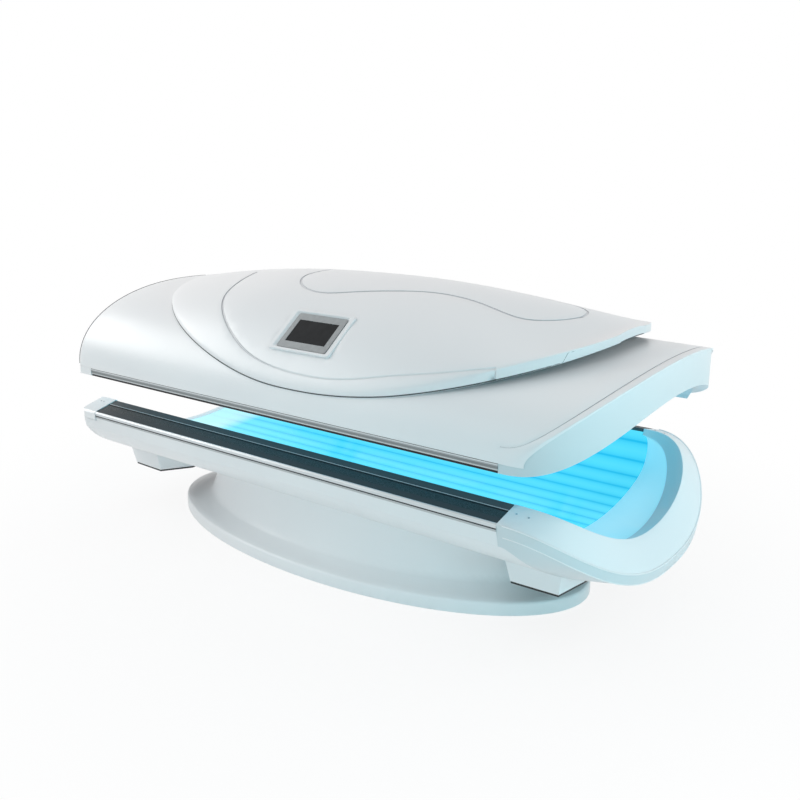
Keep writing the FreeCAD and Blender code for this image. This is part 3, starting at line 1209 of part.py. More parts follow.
# Canopy foot-end moulding: outer wall under the shell lip, rising as an arch
def lower_arch(x0, x1, lift, half):
    spots = []
    for k in range(-12, 13):
        share = k / 12.0
        z = CANOPY_Z - 6.0 + (CEILING_Z - CANOPY_Z + 2.0) * (1.0 - abs(share) ** 2.1) + lift
        spots.append(V(x0, half * share, z))
    high_left = V(x0, -half, 2.0 * CANOPY_Z)
    high_right = V(x0, half, 2.0 * CANOPY_Z)
    edges = [
        spline(spots).toShape(), line(spots[0], high_left), line(high_left, high_right),
        line(high_right, spots[-1])]
    return solid_x(edges, x1 - x0)


END_WALL = 46.0
end_outer = end_prism(RAIL_END, CANOPY_REACH - 5.0, HALF - 2.0, END_POWER, RAIL_END - 40.0, 0.0, 2.0 * CANOPY_Z)
end_inner = end_prism(
    RAIL_END - 1.0, CANOPY_REACH - 5.0 - END_WALL, HALF - 2.0 - END_WALL, END_POWER, RAIL_END - 2.0, 0.0,
    2.0 * CANOPY_Z)
under_shell = arch_solid(
    [(RAIL_END - 10.0, CANOPY_WALL + SEAT, 0.0, 1.0), (foot_x + 30.0, CANOPY_WALL + SEAT, 0.0, 1.0)],
    CANOPY_Z - 10.0)
end_block = end_outer.common(lower_arch(RAIL_END, foot_x + 20.0, 0.0, HALF + 1.0))
below_base = box(RAIL_END, foot_x + 20.0, -HALF - 10.0, HALF + 10.0, CANOPY_Z - 30.0, CANOPY_BASE_Z - SEAT)
moulding = end_block.common(under_shell.fuse(below_base)).cut(end_inner)
save("canopy_foot_moulding", moulding)

lining = trough_sheet(CANOPY_FORM, 0.0, SHELL_WALL, canopy_limit, RAIL_END, foot_x)
lining_room = end_prism(
    RAIL_END - 1.0, CANOPY_REACH - 5.0 - END_WALL - SEAT, HALF - 2.0 - END_WALL - SEAT, END_POWER,
    RAIL_END - 40.0, 0.0, 2.0 * CANOPY_Z)
save("canopy_foot_lining", lining.common(lining_room))

# Screws
def screw(spot, normal, radius, height):
    return bar(radius, spot, normal, height)


rail_normal = V(0, -RAIL_RUN[1], RAIL_RUN[0])
rail_screws = []
for x in (-RAIL_END - 60.0, -RAIL_END - 44.0):
    y, z = on_rail(0.72 * RAIL_SLOPE, CAP_PROUD + 0.1)
    rail_screws += both_sides(screw(V(x, y, z), rail_normal, 3.0, 1.4))
for turn in (-84, -76):
    section = rim_section(math.radians(turn))
    inner, edge = section[2], section[3]
    ahead = rim_section(math.radians(turn + 3))
    spot = inner * 0.62 + edge * 0.38
    nearby = ahead[2] * 0.62 + ahead[3] * 0.38
    normal = (inner - edge).cross(nearby - spot)
    if normal.z < 0:
        normal = normal * -1.0
    normal.normalize()
    rail_screws += both_sides(screw(spot + normal * 0.1, normal, 3.0, 1.4))
save("rail_screws", Part.makeCompound(rail_screws))

housing_screws = []
for side in (-1, 1):
    plan = housing_plan(side, -16.0)
    for k in (0, 1, 4, 5):
        x, y = plan[k]
        housing_screws.append(bar(4.0, V(x, y, HOUSING_LOW_Z - 1.6), V(0, 0, 1), 1.5))
save("housing_screws", Part.makeCompound(housing_screws))
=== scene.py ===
import json
import math

import bpy
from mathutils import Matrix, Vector


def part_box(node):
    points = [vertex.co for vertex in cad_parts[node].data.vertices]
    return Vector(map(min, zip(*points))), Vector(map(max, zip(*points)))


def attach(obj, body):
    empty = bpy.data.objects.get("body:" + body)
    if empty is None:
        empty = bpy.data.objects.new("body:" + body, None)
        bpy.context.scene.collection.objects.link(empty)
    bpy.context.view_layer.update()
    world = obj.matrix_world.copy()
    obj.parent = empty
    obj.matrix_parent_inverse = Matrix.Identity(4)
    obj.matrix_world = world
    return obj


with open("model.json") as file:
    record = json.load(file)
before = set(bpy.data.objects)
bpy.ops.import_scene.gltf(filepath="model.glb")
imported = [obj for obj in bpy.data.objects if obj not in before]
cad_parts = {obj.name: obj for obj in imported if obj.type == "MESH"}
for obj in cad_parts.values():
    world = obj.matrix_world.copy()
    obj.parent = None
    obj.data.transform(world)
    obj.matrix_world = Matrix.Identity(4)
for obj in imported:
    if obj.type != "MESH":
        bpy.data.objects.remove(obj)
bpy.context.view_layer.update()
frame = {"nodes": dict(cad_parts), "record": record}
nodes_of = frame["nodes"]
scene = bpy.context.scene
scene.view_settings.view_transform = "Standard"

# Places of a colour mix node's sockets
MIX_SHARE = 0
MIX_FIRST = 6
MIX_SECOND = 7
MIX_RESULT = 2

# Shared scales of the looks: texture scales are per metre, depths are in metres
NOISE_ROUGH = 0.55
NOISE_LOW = 0.3            # a noise keeps mostly between these two
NOISE_HIGH = 0.7
TONE_LOW_AT = 0.2          # where a tone's darker and paler ends lie in the noise
TONE_HIGH_AT = 0.8
CLOUD_SCALE = 1.6          # broad tone of the white mouldings
FINISH_SCALE = 3.0         # change of gloss over a moulding
SMOOTH = 1.0               # details of a noise, from broad to fine
SOFT = 2.0
FINE = 3.0
PEEL_SCALE = 28.0          # slight waviness of a moulded skin
PEEL_STRENGTH = 0.03
PEEL_DEPTH = 0.0006
COAT_ROUGH = 0.30
GRAIN_SCALE = 240.0        # fine grain of metal
GRAIN_DETAIL = 4.0
GRAIN_ROUGH = 0.6
GRAIN_STRENGTH = 0.12
GRAIN_DEPTH = 0.0003
MATTE_TONE_DETAIL = 4.0
MATTE_FINER = 4.0          # scale of a matte skin's grain, in scales of its tone
MATTE_DEPTH = 0.0004
EVEN = (1.0, 1.0, 1.0)
BRUSHED = (0.02, 1.0, 1.0)  # grain drawn out along X
BLACK = (0.0, 0.0, 0.0)
FULL = (1.0, 1.0, 1.0)     # pure white
STREAK_TONES = ((0.25, (0.70, 0.71, 0.72)), (0.75, FULL))
STREAK_SHARE = 0.55
METAL_TONE_SCALE = 60.0
METAL_TONE_DETAIL = 5.0
WHITE_LOW = (0.79, 0.80, 0.81)
WHITE_HIGH = (0.84, 0.845, 0.85)
WHITE_ROUGH = (0.38, 0.46)
WHITE_COAT = 0.22
SATIN_ROUGH = (0.30, 0.38)
LINING_COAT = 0.20
CAP_COAT = 0.15
# Lamp-side white: the white moulding with painted shade and a painted cyan tint of the lamps
LINING_PAINTED_SHADE_LOW = (0.60, 0.66, 0.68)
LINING_PAINTED_SHADE_HIGH = (0.70, 0.74, 0.75)


# Materials: every one is a small tree of procedural nodes in the object's own metres
class Tree:
    def __init__(self, name):
        self.mat = bpy.data.materials.new(name)
        self.mat.use_nodes = True
        self.nt = self.mat.node_tree
        self.bsdf = self.nt.nodes["Principled BSDF"]
        self.source = self.nt.nodes.new("ShaderNodeTexCoord")
        self.coords = self.source.outputs["Object"]

    def node(self, kind, **values):
        made = self.nt.nodes.new(kind)
        for key, value in values.items():
            setattr(made, key, value)
        return made

    def join(self, out, into):
        self.nt.links.new(out, into)

    # A socket takes a number, a colour or another node's output
    def feed(self, into, value):
        if isinstance(value, (int, float)):
            into.default_value = value
        elif isinstance(value, tuple):
            into.default_value = value + (1.0,)
        else:
            self.join(value, into)

    def set(self, **values):
        for key, value in values.items():
            self.bsdf.inputs[key.replace("_", " ")].default_value = value

    def stretch(self, scale):
        made = self.node("ShaderNodeMapping")
        made.inputs["Scale"].default_value = scale
        self.join(self.coords, made.inputs["Vector"])
        return made.outputs["Vector"]

    def noise(self, scale, detail=FINE, rough=NOISE_ROUGH, along=EVEN):
        made = self.node("ShaderNodeTexNoise")
        made.inputs["Scale"].default_value = scale
        made.inputs["Detail"].default_value = detail
        made.inputs["Roughness"].default_value = rough
        self.join(self.stretch(along), made.inputs["Vector"])
        return made.outputs["Fac"]

    def cells(self, scale):
        made = self.node("ShaderNodeTexVoronoi")
        made.inputs["Scale"].default_value = scale
        self.join(self.stretch(EVEN), made.inputs["Vector"])
        return made.outputs["Distance"]

    def math(self, how, first, second=None):
        made = self.node("ShaderNodeMath", operation=how)
        self.feed(made.inputs[0], first)
        if second is not None:
            self.feed(made.inputs[1], second)
        return made.outputs[0]

    def times(self, value, factor):
        return self.math("MULTIPLY", value, factor)

    def fit(self, value, low, high):
        made = self.node("ShaderNodeMapRange")
        made.inputs["From Min"].default_value = low
        made.inputs["From Max"].default_value = high
        self.join(value, made.inputs["Value"])
        return made.outputs["Result"]

    def span(self, value, low, high, to_low, to_high):
        made = self.node("ShaderNodeMapRange", interpolation_type="SMOOTHSTEP")
        made.inputs["From Min"].default_value = low
        made.inputs["From Max"].default_value = high
        made.inputs["To Min"].default_value = to_low
        made.inputs["To Max"].default_value = to_high
        self.join(value, made.inputs["Value"])
        return made.outputs["Result"]

    def blend(self, share, first, second, how="MIX"):
        made = self.node("ShaderNodeMix", data_type="RGBA", blend_type=how)
        self.feed(made.inputs[MIX_SHARE], share)
        self.feed(made.inputs[MIX_FIRST], first)
        self.feed(made.inputs[MIX_SECOND], second)
        return made.outputs[MIX_RESULT]

    def ramp(self, value, stops, how="LINEAR"):
        made = self.node("ShaderNodeValToRGB")
        made.color_ramp.interpolation = how
        points = made.color_ramp.elements
        while len(points) < len(stops):
            points.new(0.5)
        for point, (at, colour) in zip(points, stops):
            point.position = at
            point.color = tuple(colour) + (1.0,)
        self.join(value, made.inputs["Fac"])
        return made.outputs["Color"]

    def part_of(self, vector, axis):
        made = self.node("ShaderNodeSeparateXYZ")
        self.join(vector, made.inputs["Vector"])
        return made.outputs[axis]

    def place(self, axis):
        return self.part_of(self.coords, axis)

    def facing(self, axis):
        return self.part_of(self.source.outputs["Normal"], axis)

    # Below 1 inside a rounded outline, 1 on it: out and side are shares of its half sizes
    def oval(self, out, side, power):
        return self.math("ADD", self.math("POWER", out, power), self.math("POWER", side, power))

    def tone(self, low, high, scale, detail):
        stops = ((TONE_LOW_AT, low), (TONE_HIGH_AT, high))
        return self.ramp(self.noise(scale, detail), stops, "EASE")

    def colour(self, out):
        self.join(out, self.bsdf.inputs["Base Color"])

    def emit(self, out):
        self.join(out, self.bsdf.inputs["Emission Color"])

    def rough(self, out):
        self.join(out, self.bsdf.inputs["Roughness"])

    def vary_rough(self, noise, low, high):
        self.rough(self.span(noise, NOISE_LOW, NOISE_HIGH, low, high))

    def bump(self, out, strength, distance):
        made = self.node("ShaderNodeBump")
        made.inputs["Strength"].default_value = strength
        made.inputs["Distance"].default_value = distance
        self.join(out, made.inputs["Height"])
        self.join(made.outputs["Normal"], self.bsdf.inputs["Normal"])

    # Skin of a glossy moulding
    def moulded_skin(self, rough, coat):
        self.vary_rough(self.noise(FINISH_SCALE, SMOOTH), *rough)
        self.bump(self.noise(PEEL_SCALE, SMOOTH), PEEL_STRENGTH, PEEL_DEPTH)
        self.set(Coat_Weight=coat, Coat_Roughness=COAT_ROUGH)

    def cloud(self, low, high):
        return self.tone(low, high, CLOUD_SCALE, SMOOTH)

    def grain(self, along):
        return self.noise(GRAIN_SCALE, GRAIN_DETAIL, GRAIN_ROUGH, along)

    # Colour bands of an extrusion, streaked by its drawn grain
    def streaked(self, bands, grain):
        streaks = self.ramp(grain, STREAK_TONES)
        self.colour(self.blend(STREAK_SHARE, bands, streaks, "MULTIPLY"))
        self.bump(grain, GRAIN_STRENGTH, GRAIN_DEPTH)


def moulded(name, low, high, rough, coat):
    tree = Tree(name)
    tree.colour(tree.cloud(low, high))
    tree.moulded_skin(rough, coat)
    return tree.mat


def metal(name, low, high, rough_low, rough_high):
    tree = Tree(name)
    tree.colour(tree.tone(low, high, METAL_TONE_SCALE, METAL_TONE_DETAIL))
    grain = tree.grain(EVEN)
    tree.vary_rough(grain, rough_low, rough_high)
    tree.bump(grain, GRAIN_STRENGTH, GRAIN_DEPTH)
    tree.set(Metallic=1.0)
    return tree.mat


def matte(name, low, high, scale, rough_low, rough_high, bump=0.2):
    tree = Tree(name)
    tree.colour(tree.tone(low, high, scale, MATTE_TONE_DETAIL))
    grain = tree.noise(scale * MATTE_FINER)
    tree.vary_rough(grain, rough_low, rough_high)
    tree.bump(grain, bump, MATTE_DEPTH)
    return tree.mat


# White mouldings with painted shade in their pressed grooves, where ambient occlusion darkens the colour
CREASE_SAMPLES = 8
CREASE_REACH = 0.012
CREASE_DEEP = 0.72         # open share at which the shade is full
CREASE_SHADE = (0.66, 0.67, 0.69)


def painted_crease_shade(tree, share=None):
    crease = tree.node("ShaderNodeAmbientOcclusion", samples=CREASE_SAMPLES, only_local=True)
    crease.inputs["Distance"].default_value = CREASE_REACH
    deep = tree.fit(crease.outputs["AO"], 1.0, CREASE_DEEP)
    if share is not None:
        deep = tree.times(deep, share)
    # Painted shade: the darkening of the grooves goes into the base colour
    shade = tree.ramp(deep, ((0.0, FULL), (1.0, CREASE_SHADE)))
    tree.colour(tree.blend(1.0, tree.cloud(WHITE_LOW, WHITE_HIGH), shade, "MULTIPLY"))
    tree.moulded_skin(WHITE_ROUGH, WHITE_COAT)
    return tree.mat


# Top cover: painted shade in its grooves on the face, away from the lip
COVER_FACE_POWER = 2.3
COVER_FACE_END = 0.84
COVER_LIP_START = 0.90


def cover_white():
    tree = Tree("cover_white")
    low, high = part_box("canopy_cover")
    middle = (low[0] + high[0]) / 2
    half = (high[0] - low[0]) / 2
    out = tree.times(tree.math("ABSOLUTE", tree.math("SUBTRACT", tree.place("X"), middle)), 1.0 / half)
    side = tree.times(tree.math("ABSOLUTE", tree.place("Y")), 1.0 / high[1])
    edge = tree.oval(out, side, COVER_FACE_POWER)
    return painted_crease_shade(tree, tree.span(edge, COVER_FACE_END, COVER_LIP_START, 1.0, 0.0))


# Foot-end moulding of the canopy: painted shade and painted cyan lamp light on its wall, which is a
# little greyer than its top, more so lower down
WALL_STEEP = 0.15          # upward share of the normal, between which the wall turns into the top
WALL_FLAT = 0.5
# Painted shade and cyan lamp light of the wall, from its bottom upwards
WALL_PAINTED_SHADE_TONES = ((0.0, (0.56, 0.66, 0.69)), (0.35, (0.66, 0.73, 0.75)), (1.0, (0.78, 0.80, 0.81)))


def moulding_painted_shade_and_light():
    tree = Tree("moulding_painted_shade_and_light")
    low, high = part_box("canopy_foot_moulding")
    wall = tree.span(tree.facing("Z"), WALL_STEEP, WALL_FLAT, 1.0, 0.0)
    # Painted shade: darker, bluer tones lower down the wall
    painted_wall_shade = tree.ramp(tree.fit(tree.place("Z"), low[2], high[2]), WALL_PAINTED_SHADE_TONES)
    tree.colour(tree.blend(wall, tree.cloud(WHITE_LOW, WHITE_HIGH), painted_wall_shade))
    tree.moulded_skin(WHITE_ROUGH, WHITE_COAT)
    return tree.mat


# Bench rail, from inside outwards: grey slope, bright line, strip's groove, satin slope, bright edge
RAIL_WIDTH = 0.108
RAIL_FACE = 0.001          # metres in from the outside, as far as the outer face and its bright edge go
RAIL_EDGE = 0.0065
RAIL_ROUGH = (0.52, 0.62)
RAIL_EDGE_POLISH = 0.20
RAIL_EDGE_METAL = 0.35
RAIL_SLOPE_BANDS = (
    (0.0, (0.085, 0.09, 0.094)), (0.305, (0.62, 0.63, 0.64)), (0.335, (0.02, 0.022, 0.024)),
    (0.70, (0.055, 0.06, 0.065)), (0.94, (0.60, 0.62, 0.63)))
# Outer face, from its lower edge upwards: bright, with a dark line
RAIL_FACE_BANDS = ((0.0, (0.52, 0.54, 0.55)), (0.22, (0.05, 0.055, 0.06)), (0.30, (0.72, 0.74, 0.75)))


def rail_metal():
    tree = Tree("rail_metal")
    low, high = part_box("back_rail")
    across = tree.math("ABSOLUTE", tree.place("Y"))
    slope = tree.ramp(tree.fit(across, high[1] - RAIL_WIDTH, high[1]), RAIL_SLOPE_BANDS, "CONSTANT")
    face = tree.ramp(tree.fit(tree.place("Z"), low[2], high[2]), RAIL_FACE_BANDS, "CONSTANT")
    on_face = tree.math("GREATER_THAN", across, high[1] - RAIL_FACE)
    on_edge = tree.math("GREATER_THAN", across, high[1] - RAIL_EDGE)
    grain = tree.grain(BRUSHED)
    tree.streaked(tree.blend(on_face, slope, face), grain)
    satin = tree.span(grain, NOISE_LOW, NOISE_HIGH, *RAIL_ROUGH)
    tree.rough(tree.math("SUBTRACT", satin, tree.times(on_edge, RAIL_EDGE_POLISH)))
    tree.join(tree.times(on_edge, RAIL_EDGE_METAL), tree.bsdf.inputs["Metallic"])
    tree.set(Specular_IOR_Level=0.25)
    return tree.mat


# Canopy rail: fine lines along its face, from its lower edge upwards
CANOPY_RAIL_ROUGH = (0.34, 0.46)
CANOPY_RAIL_BANDS = (
    (0.0, (0.06, 0.065, 0.07)), (0.16, (0.66, 0.68, 0.69)), (0.34, (0.24, 0.255, 0.26)),
    (0.66, (0.42, 0.44, 0.45)), (0.80, (0.72, 0.74, 0.75)), (0.93, (0.10, 0.105, 0.11)))


def canopy_rail_metal():
    tree = Tree("canopy_rail_metal")
    low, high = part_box("canopy_front_rail")
    grain = tree.grain(BRUSHED)
    bands = tree.ramp(tree.fit(tree.place("Z"), low[2], high[2]), CANOPY_RAIL_BANDS, "CONSTANT")
    tree.streaked(bands, grain)
    tree.vary_rough(grain, *CANOPY_RAIL_ROUGH)
    tree.set(Metallic=0.25)
    return tree.mat


# Dotted insert: a fine raised grain
DOT_SCALE = 420.0
DOT_EDGE = 0.7
DOT_STRENGTH = 0.5
DOT_DEPTH = 0.0006
DOT_ROUGH = (0.32, 0.62)
DOT_TONES = ((0.1, (0.060, 0.072, 0.076)), (0.6, (0.012, 0.016, 0.018)))


def strip_black():
    tree = Tree("strip_black")
    dots = tree.cells(DOT_SCALE)
    tree.colour(tree.ramp(dots, DOT_TONES))
    tree.rough(tree.span(dots, 0.0, DOT_EDGE, *DOT_ROUGH))
    tree.bump(tree.span(dots, 0.0, DOT_EDGE, 1.0, 0.0), DOT_STRENGTH, DOT_DEPTH)
    return tree.mat


# Foot-end moulding of the bench: white flange paled with painted cyan light, painted shade on its wall
# and step, and a lining lit with a painted glow of the lamps
# Painted light: the flange's tones are paler and bluer than the other white mouldings
RIM_PAINTED_LIGHT_LOW = (0.83, 0.87, 0.885)
RIM_PAINTED_LIGHT_HIGH = (0.87, 0.90, 0.91)
# Painted shade of the outer wall and step; painted lamp light and glow on the lining
RIM_WALL_PAINTED_SHADE = (0.64, 0.70, 0.72)
RIM_LINING_PAINTED_LIGHT = (0.62, 0.80, 0.85)
RIM_LINING_PAINTED_GLOW = (0.28, 0.72, 0.86)
RIM_LINING = (0.1856, 0.466, 2.6)  # reach, half width and power of the lining's outline
RIM_STEP = (0.240, 0.472, 3.0)     # and of the step's
RIM_UPPER = 0.05           # upward share of the normal, above which a face looks up
RIM_WALL = 0.35            # and below which it is a wall
OUTLINE_INSIDE = 0.985
OUTLINE_OUTSIDE = 1.015


def rim_painted_light_and_shade():
    tree = Tree("rim_painted_light_and_shade")
    start_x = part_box("bench_foot_rim")[0][0]

    def within(reach, half, power):
        past_rails = tree.times(tree.math("SUBTRACT", tree.place("X"), start_x), 1.0 / reach)
        side = tree.times(tree.math("ABSOLUTE", tree.place("Y")), 1.0 / half)
        outline = tree.oval(tree.math("MAXIMUM", past_rails, 0.0), side, power)
        return tree.span(outline, OUTLINE_INSIDE, OUTLINE_OUTSIDE, 1.0, 0.0)

    up = tree.facing("Z")
    looks_up = tree.math("GREATER_THAN", up, RIM_UPPER)
    lining = tree.times(within(*RIM_LINING), looks_up)
    step = tree.times(within(*RIM_STEP), looks_up)
    outer_wall = tree.times(tree.math("LESS_THAN", up, RIM_WALL), tree.math("SUBTRACT", 1.0, step))
    base = tree.cloud(RIM_PAINTED_LIGHT_LOW, RIM_PAINTED_LIGHT_HIGH)
    # Painted shade on the outer wall and step, painted lamp light on the lining
    for mask, tone in ((outer_wall, RIM_WALL_PAINTED_SHADE), (step, RIM_WALL_PAINTED_SHADE), (lining, RIM_LINING_PAINTED_LIGHT)):
        base = tree.blend(mask, base, tone)
    tree.colour(base)
    # Painted glow of the lamps on the lining
    tree.emit(tree.ramp(lining, ((0.0, BLACK), (1.0, RIM_LINING_PAINTED_GLOW))))
    tree.moulded_skin(SATIN_ROUGH, LINING_COAT)
    tree.set(Emission_Strength=0.30)
    return tree.mat


# Acrylic with a painted glow: broad bright bands of painted tube light, thin lines between them, and a
# painted pale reflection at the head end
LINE_PITCH = 8.2           # degrees between the lines, round the trough's centre
LINE_START = 40.0          # whole pitches added, so that the count stays above zero
HALF_PITCH = 0.5
PALE_END = 0.16            # metres from the sheet's head end, between which the pale end fades
PALE_FADE = 0.30
PALE_WAVER = 0.10          # metres by which the pale end's edge wavers
# Painted reflection: the pale tint of the sheet's head end
PAINTED_REFLECTION_TINT = (0.46, 0.90, 0.98)
GLOW_BANDS = (
    (0.02, (0.015, 0.54, 0.90)), (0.075, (0.055, 0.68, 0.98)), (0.20, (0.080, 0.735, 1.0)),
    (0.5, (0.105, 0.765, 1.0)))
SHEET_TONES = ((0.02, (0.01, 0.08, 0.12)), (0.3, (0.03, 0.14, 0.18)))
GLOW_PATCH_TONES = ((0.3, (0.90, 0.93, 0.95)), (0.7, FULL))
GLOW_PATCH_SCALE = 2.5
GLOW_PATCH_ROUGH = 0.5
GLOW_PATCH_DRAWN = (0.3, 1.0, 1.0)
WAVER_SCALE = 7.0
ACRYLIC_FINISH_SCALE = 6.0
ACRYLIC_ROUGH = (0.14, 0.24)
BENCH_CENTRE_Z = 0.75      # heights from which the lines of the two sheets fan out
CANOPY_CENTRE_Z = 0.30


def acrylic(name, centre_z, up):
    tree = Tree(name)
    head_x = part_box("bench_acrylic")[0][0]
    rise = tree.times(tree.math("SUBTRACT", tree.place("Z"), centre_z), up)
    turn = tree.math("ARCTAN2", tree.place("Y"), rise)
    count = tree.times(turn, 1.0 / math.radians(LINE_PITCH))
    wave = tree.math("PINGPONG", tree.math("ADD", count, LINE_START), HALF_PITCH)
    # Painted glow: bands of tube light, uneven in patches, in the emission
    glow_patches = tree.ramp(tree.noise(GLOW_PATCH_SCALE, SOFT, GLOW_PATCH_ROUGH, GLOW_PATCH_DRAWN), GLOW_PATCH_TONES)
    glow = tree.blend(1.0, tree.ramp(wave, GLOW_BANDS), glow_patches, "MULTIPLY")
    # Painted reflection: a pale head end with a wavering edge
    edge = tree.math("ADD", tree.place("X"), tree.times(tree.noise(WAVER_SCALE, SMOOTH), PALE_WAVER))
    from_head = tree.fit(edge, head_x + PALE_END, head_x + PALE_FADE)
    pale = tree.ramp(from_head, ((0.0, PAINTED_REFLECTION_TINT), (1.0, FULL)))
    tree.emit(tree.blend(tree.math("SUBTRACT", 1.0, from_head), glow, pale))
    tree.colour(tree.ramp(wave, SHEET_TONES))
    tree.vary_rough(tree.noise(ACRYLIC_FINISH_SCALE, SOFT), *ACRYLIC_ROUGH)
    tree.set(Alpha=0.90, Emission_Strength=0.86, Specular_IOR_Level=0.18)
    return tree.mat


# Lit tubes
TUBE_TINT_SCALE = 2.0
TUBE_TONES = ((0.3, (0.30, 0.78, 0.95)), (0.7, (0.42, 0.86, 1.0)))
TUBE_GLOW = ((0.3, (0.16, 0.76, 0.98)), (0.7, (0.24, 0.82, 1.0)))
TUBE_FINISH_SCALE = 60.0
TUBE_ROUGH = (0.30, 0.40)


def lamp_glass():
    tree = Tree("lamp_glass")
    tint = tree.noise(TUBE_TINT_SCALE, SOFT)
    tree.colour(tree.ramp(tint, TUBE_TONES))
    tree.emit(tree.ramp(tint, TUBE_GLOW))
    tree.vary_rough(tree.noise(TUBE_FINISH_SCALE, SOFT), *TUBE_ROUGH)
    tree.set(Emission_Strength=1.35)
    return tree.mat


# Reflector sheets, tinted by the tubes: a painted reflection of their cyan light in the colour, and a
# painted glow
MIRROR_PAINTED_REFLECTION_LOW = (0.30, 0.74, 0.88)
MIRROR_PAINTED_REFLECTION_HIGH = (0.40, 0.82, 0.94)
MIRROR_PAINTED_GLOW = (0.05, 0.60, 0.86)
MIRROR_TONE_SCALE = 5.0
MIRROR_FINISH_SCALE = 40.0
MIRROR_ROUGH = (0.14, 0.25)


def mirror():
    tree = Tree("mirror_sheet")
    tree.colour(tree.tone(MIRROR_PAINTED_REFLECTION_LOW, MIRROR_PAINTED_REFLECTION_HIGH, MIRROR_TONE_SCALE, SOFT))
    tree.vary_rough(tree.noise(MIRROR_FINISH_SCALE, along=BRUSHED), *MIRROR_ROUGH)
    # Painted glow of the tubes' light
    tree.set(Metallic=0.7, Emission_Color=MIRROR_PAINTED_GLOW + (1.0,), Emission_Strength=0.35)
    return tree.mat


# Dark glass of the display
SCREEN_LOW = (0.006, 0.007, 0.008)
SCREEN_HIGH = (0.014, 0.015, 0.017)
SCREEN_TONE_SCALE = 30.0
SCREEN_FINISH_SCALE = 25.0
SCREEN_ROUGH = (0.05, 0.09)


def screen():
    tree = Tree("screen_glass")
    tree.colour(tree.tone(SCREEN_LOW, SCREEN_HIGH, SCREEN_TONE_SCALE, FINE))
    tree.vary_rough(tree.noise(SCREEN_FINISH_SCALE), *SCREEN_ROUGH)
    tree.set(Specular_IOR_Level=0.15)
    return tree.mat


# Tones run from darker to paler; then come the tone's scale, the roughness and, here and there, the bump
white = moulded("gloss_white", WHITE_LOW, WHITE_HIGH, WHITE_ROUGH, WHITE_COAT)
cap_white = moulded("cap_white", (0.80, 0.805, 0.81), (0.85, 0.855, 0.86), SATIN_ROUGH, CAP_COAT)
# Lamp-side white: painted shade and a painted cyan tint of the lamps
lining_painted_shade_and_tint = moulded("lamp_side_white", LINING_PAINTED_SHADE_LOW, LINING_PAINTED_SHADE_HIGH, SATIN_ROUGH, LINING_COAT)
# Dark grey of the beads that are painted shadow lines under the cover's lip and round the canopy's head
# end
shadow_line_grey = matte("painted_shadow_line_grey", (0.055, 0.065, 0.07), (0.085, 0.095, 0.10), 120.0, 0.6, 0.8)
canopy_rail = canopy_rail_metal()

MATERIALS = {
    "white_shell": white,
    "frame_steel": matte("frame_paint", (0.20, 0.205, 0.215), (0.27, 0.275, 0.285), 40.0, 0.4, 0.55),
    "rail_aluminium": rail_metal(),
    "strip_black": strip_black(),
    "seal_rubber": matte("seal_rubber", (0.012, 0.012, 0.013), (0.03, 0.03, 0.032), 120.0, 0.6, 0.8),
    "acrylic": acrylic("bench_acrylic_glow", BENCH_CENTRE_Z, -1.0),
    "mirror_sheet": mirror(),
    "tube_glass": lamp_glass(),
    "holder_plastic": matte("holder_plastic", (0.62, 0.64, 0.65), (0.70, 0.72, 0.73), 50.0, 0.4, 0.55),
    "ballast_paint": matte("ballast_paint", (0.06, 0.065, 0.07), (0.10, 0.105, 0.11), 40.0, 0.4, 0.55),
    "grille_black": matte("grille_black", (0.010, 0.010, 0.012), (0.028, 0.028, 0.031), 80.0, 0.5, 0.68),
    "pin_steel": metal("pin_steel", (0.50, 0.51, 0.53), (0.66, 0.67, 0.69), 0.29, 0.38),
    "bush_bronze": metal("bush_bronze", (0.46, 0.31, 0.13), (0.58, 0.41, 0.19), 0.3, 0.45),
    "spring_black": matte(
        "spring_black", (0.010, 0.010, 0.011), (0.022, 0.022, 0.024), 60.0, 0.29, 0.38, 0.08),
    "rod_chrome": metal("rod_chrome", (0.70, 0.71, 0.73), (0.80, 0.81, 0.83), 0.08, 0.16),
    "display_grey": matte("display_grey", (0.29, 0.30, 0.305), (0.35, 0.36, 0.365), 60.0, 0.36, 0.5, 0.1),
    "display_black": screen(),
}
SPECIAL = {
    "canopy_front_rail": canopy_rail,
    "canopy_back_rail": canopy_rail,
    "front_rail_cap": cap_white,
    "back_rail_cap": cap_white,
    "canopy_front_cap": cap_white,
    "canopy_back_cap": cap_white,
    "canopy_cover": cover_white(),
    "canopy_shell": painted_crease_shade(Tree("shell_white")),
    "canopy_foot_moulding": moulding_painted_shade_and_light(),
    "canopy_foot_lining": lining_painted_shade_and_tint,
    "canopy_acrylic": acrylic("canopy_acrylic_glow", CANOPY_CENTRE_Z, 1.0),
    "bench_foot_rim": rim_painted_light_and_shade(),
}
for part in frame["record"]["subparts"]:
    shown = nodes_of[part["node"]]
    shown.data.materials.clear()
    shown.data.materials.append(SPECIAL.get(part["node"], MATERIALS[part["material_slot"]]))


# Moulded edges are rounded: equal points are joined first, so that the bevel finds the edges
WELD_GAP = 0.00003
EDGE_STEPS = 3
EDGE_ANGLE = math.radians(38.0)
ROUNDED = {
    "canopy_cover": 0.003,
    "canopy_shell": 0.0025,
    "canopy_foot_moulding": 0.006,
    "bench_foot_rim": 0.006,
    "bench_head_rim": 0.002,
    "pedestal_cover": 0.003,
    "head_housing": 0.003,
    "foot_housing": 0.003,
    "front_rail_cap": 0.003,
    "back_rail_cap": 0.003,
    "canopy_front_cap": 0.003,
    "canopy_back_cap": 0.003,
    "display_bezel": 0.0015,
}


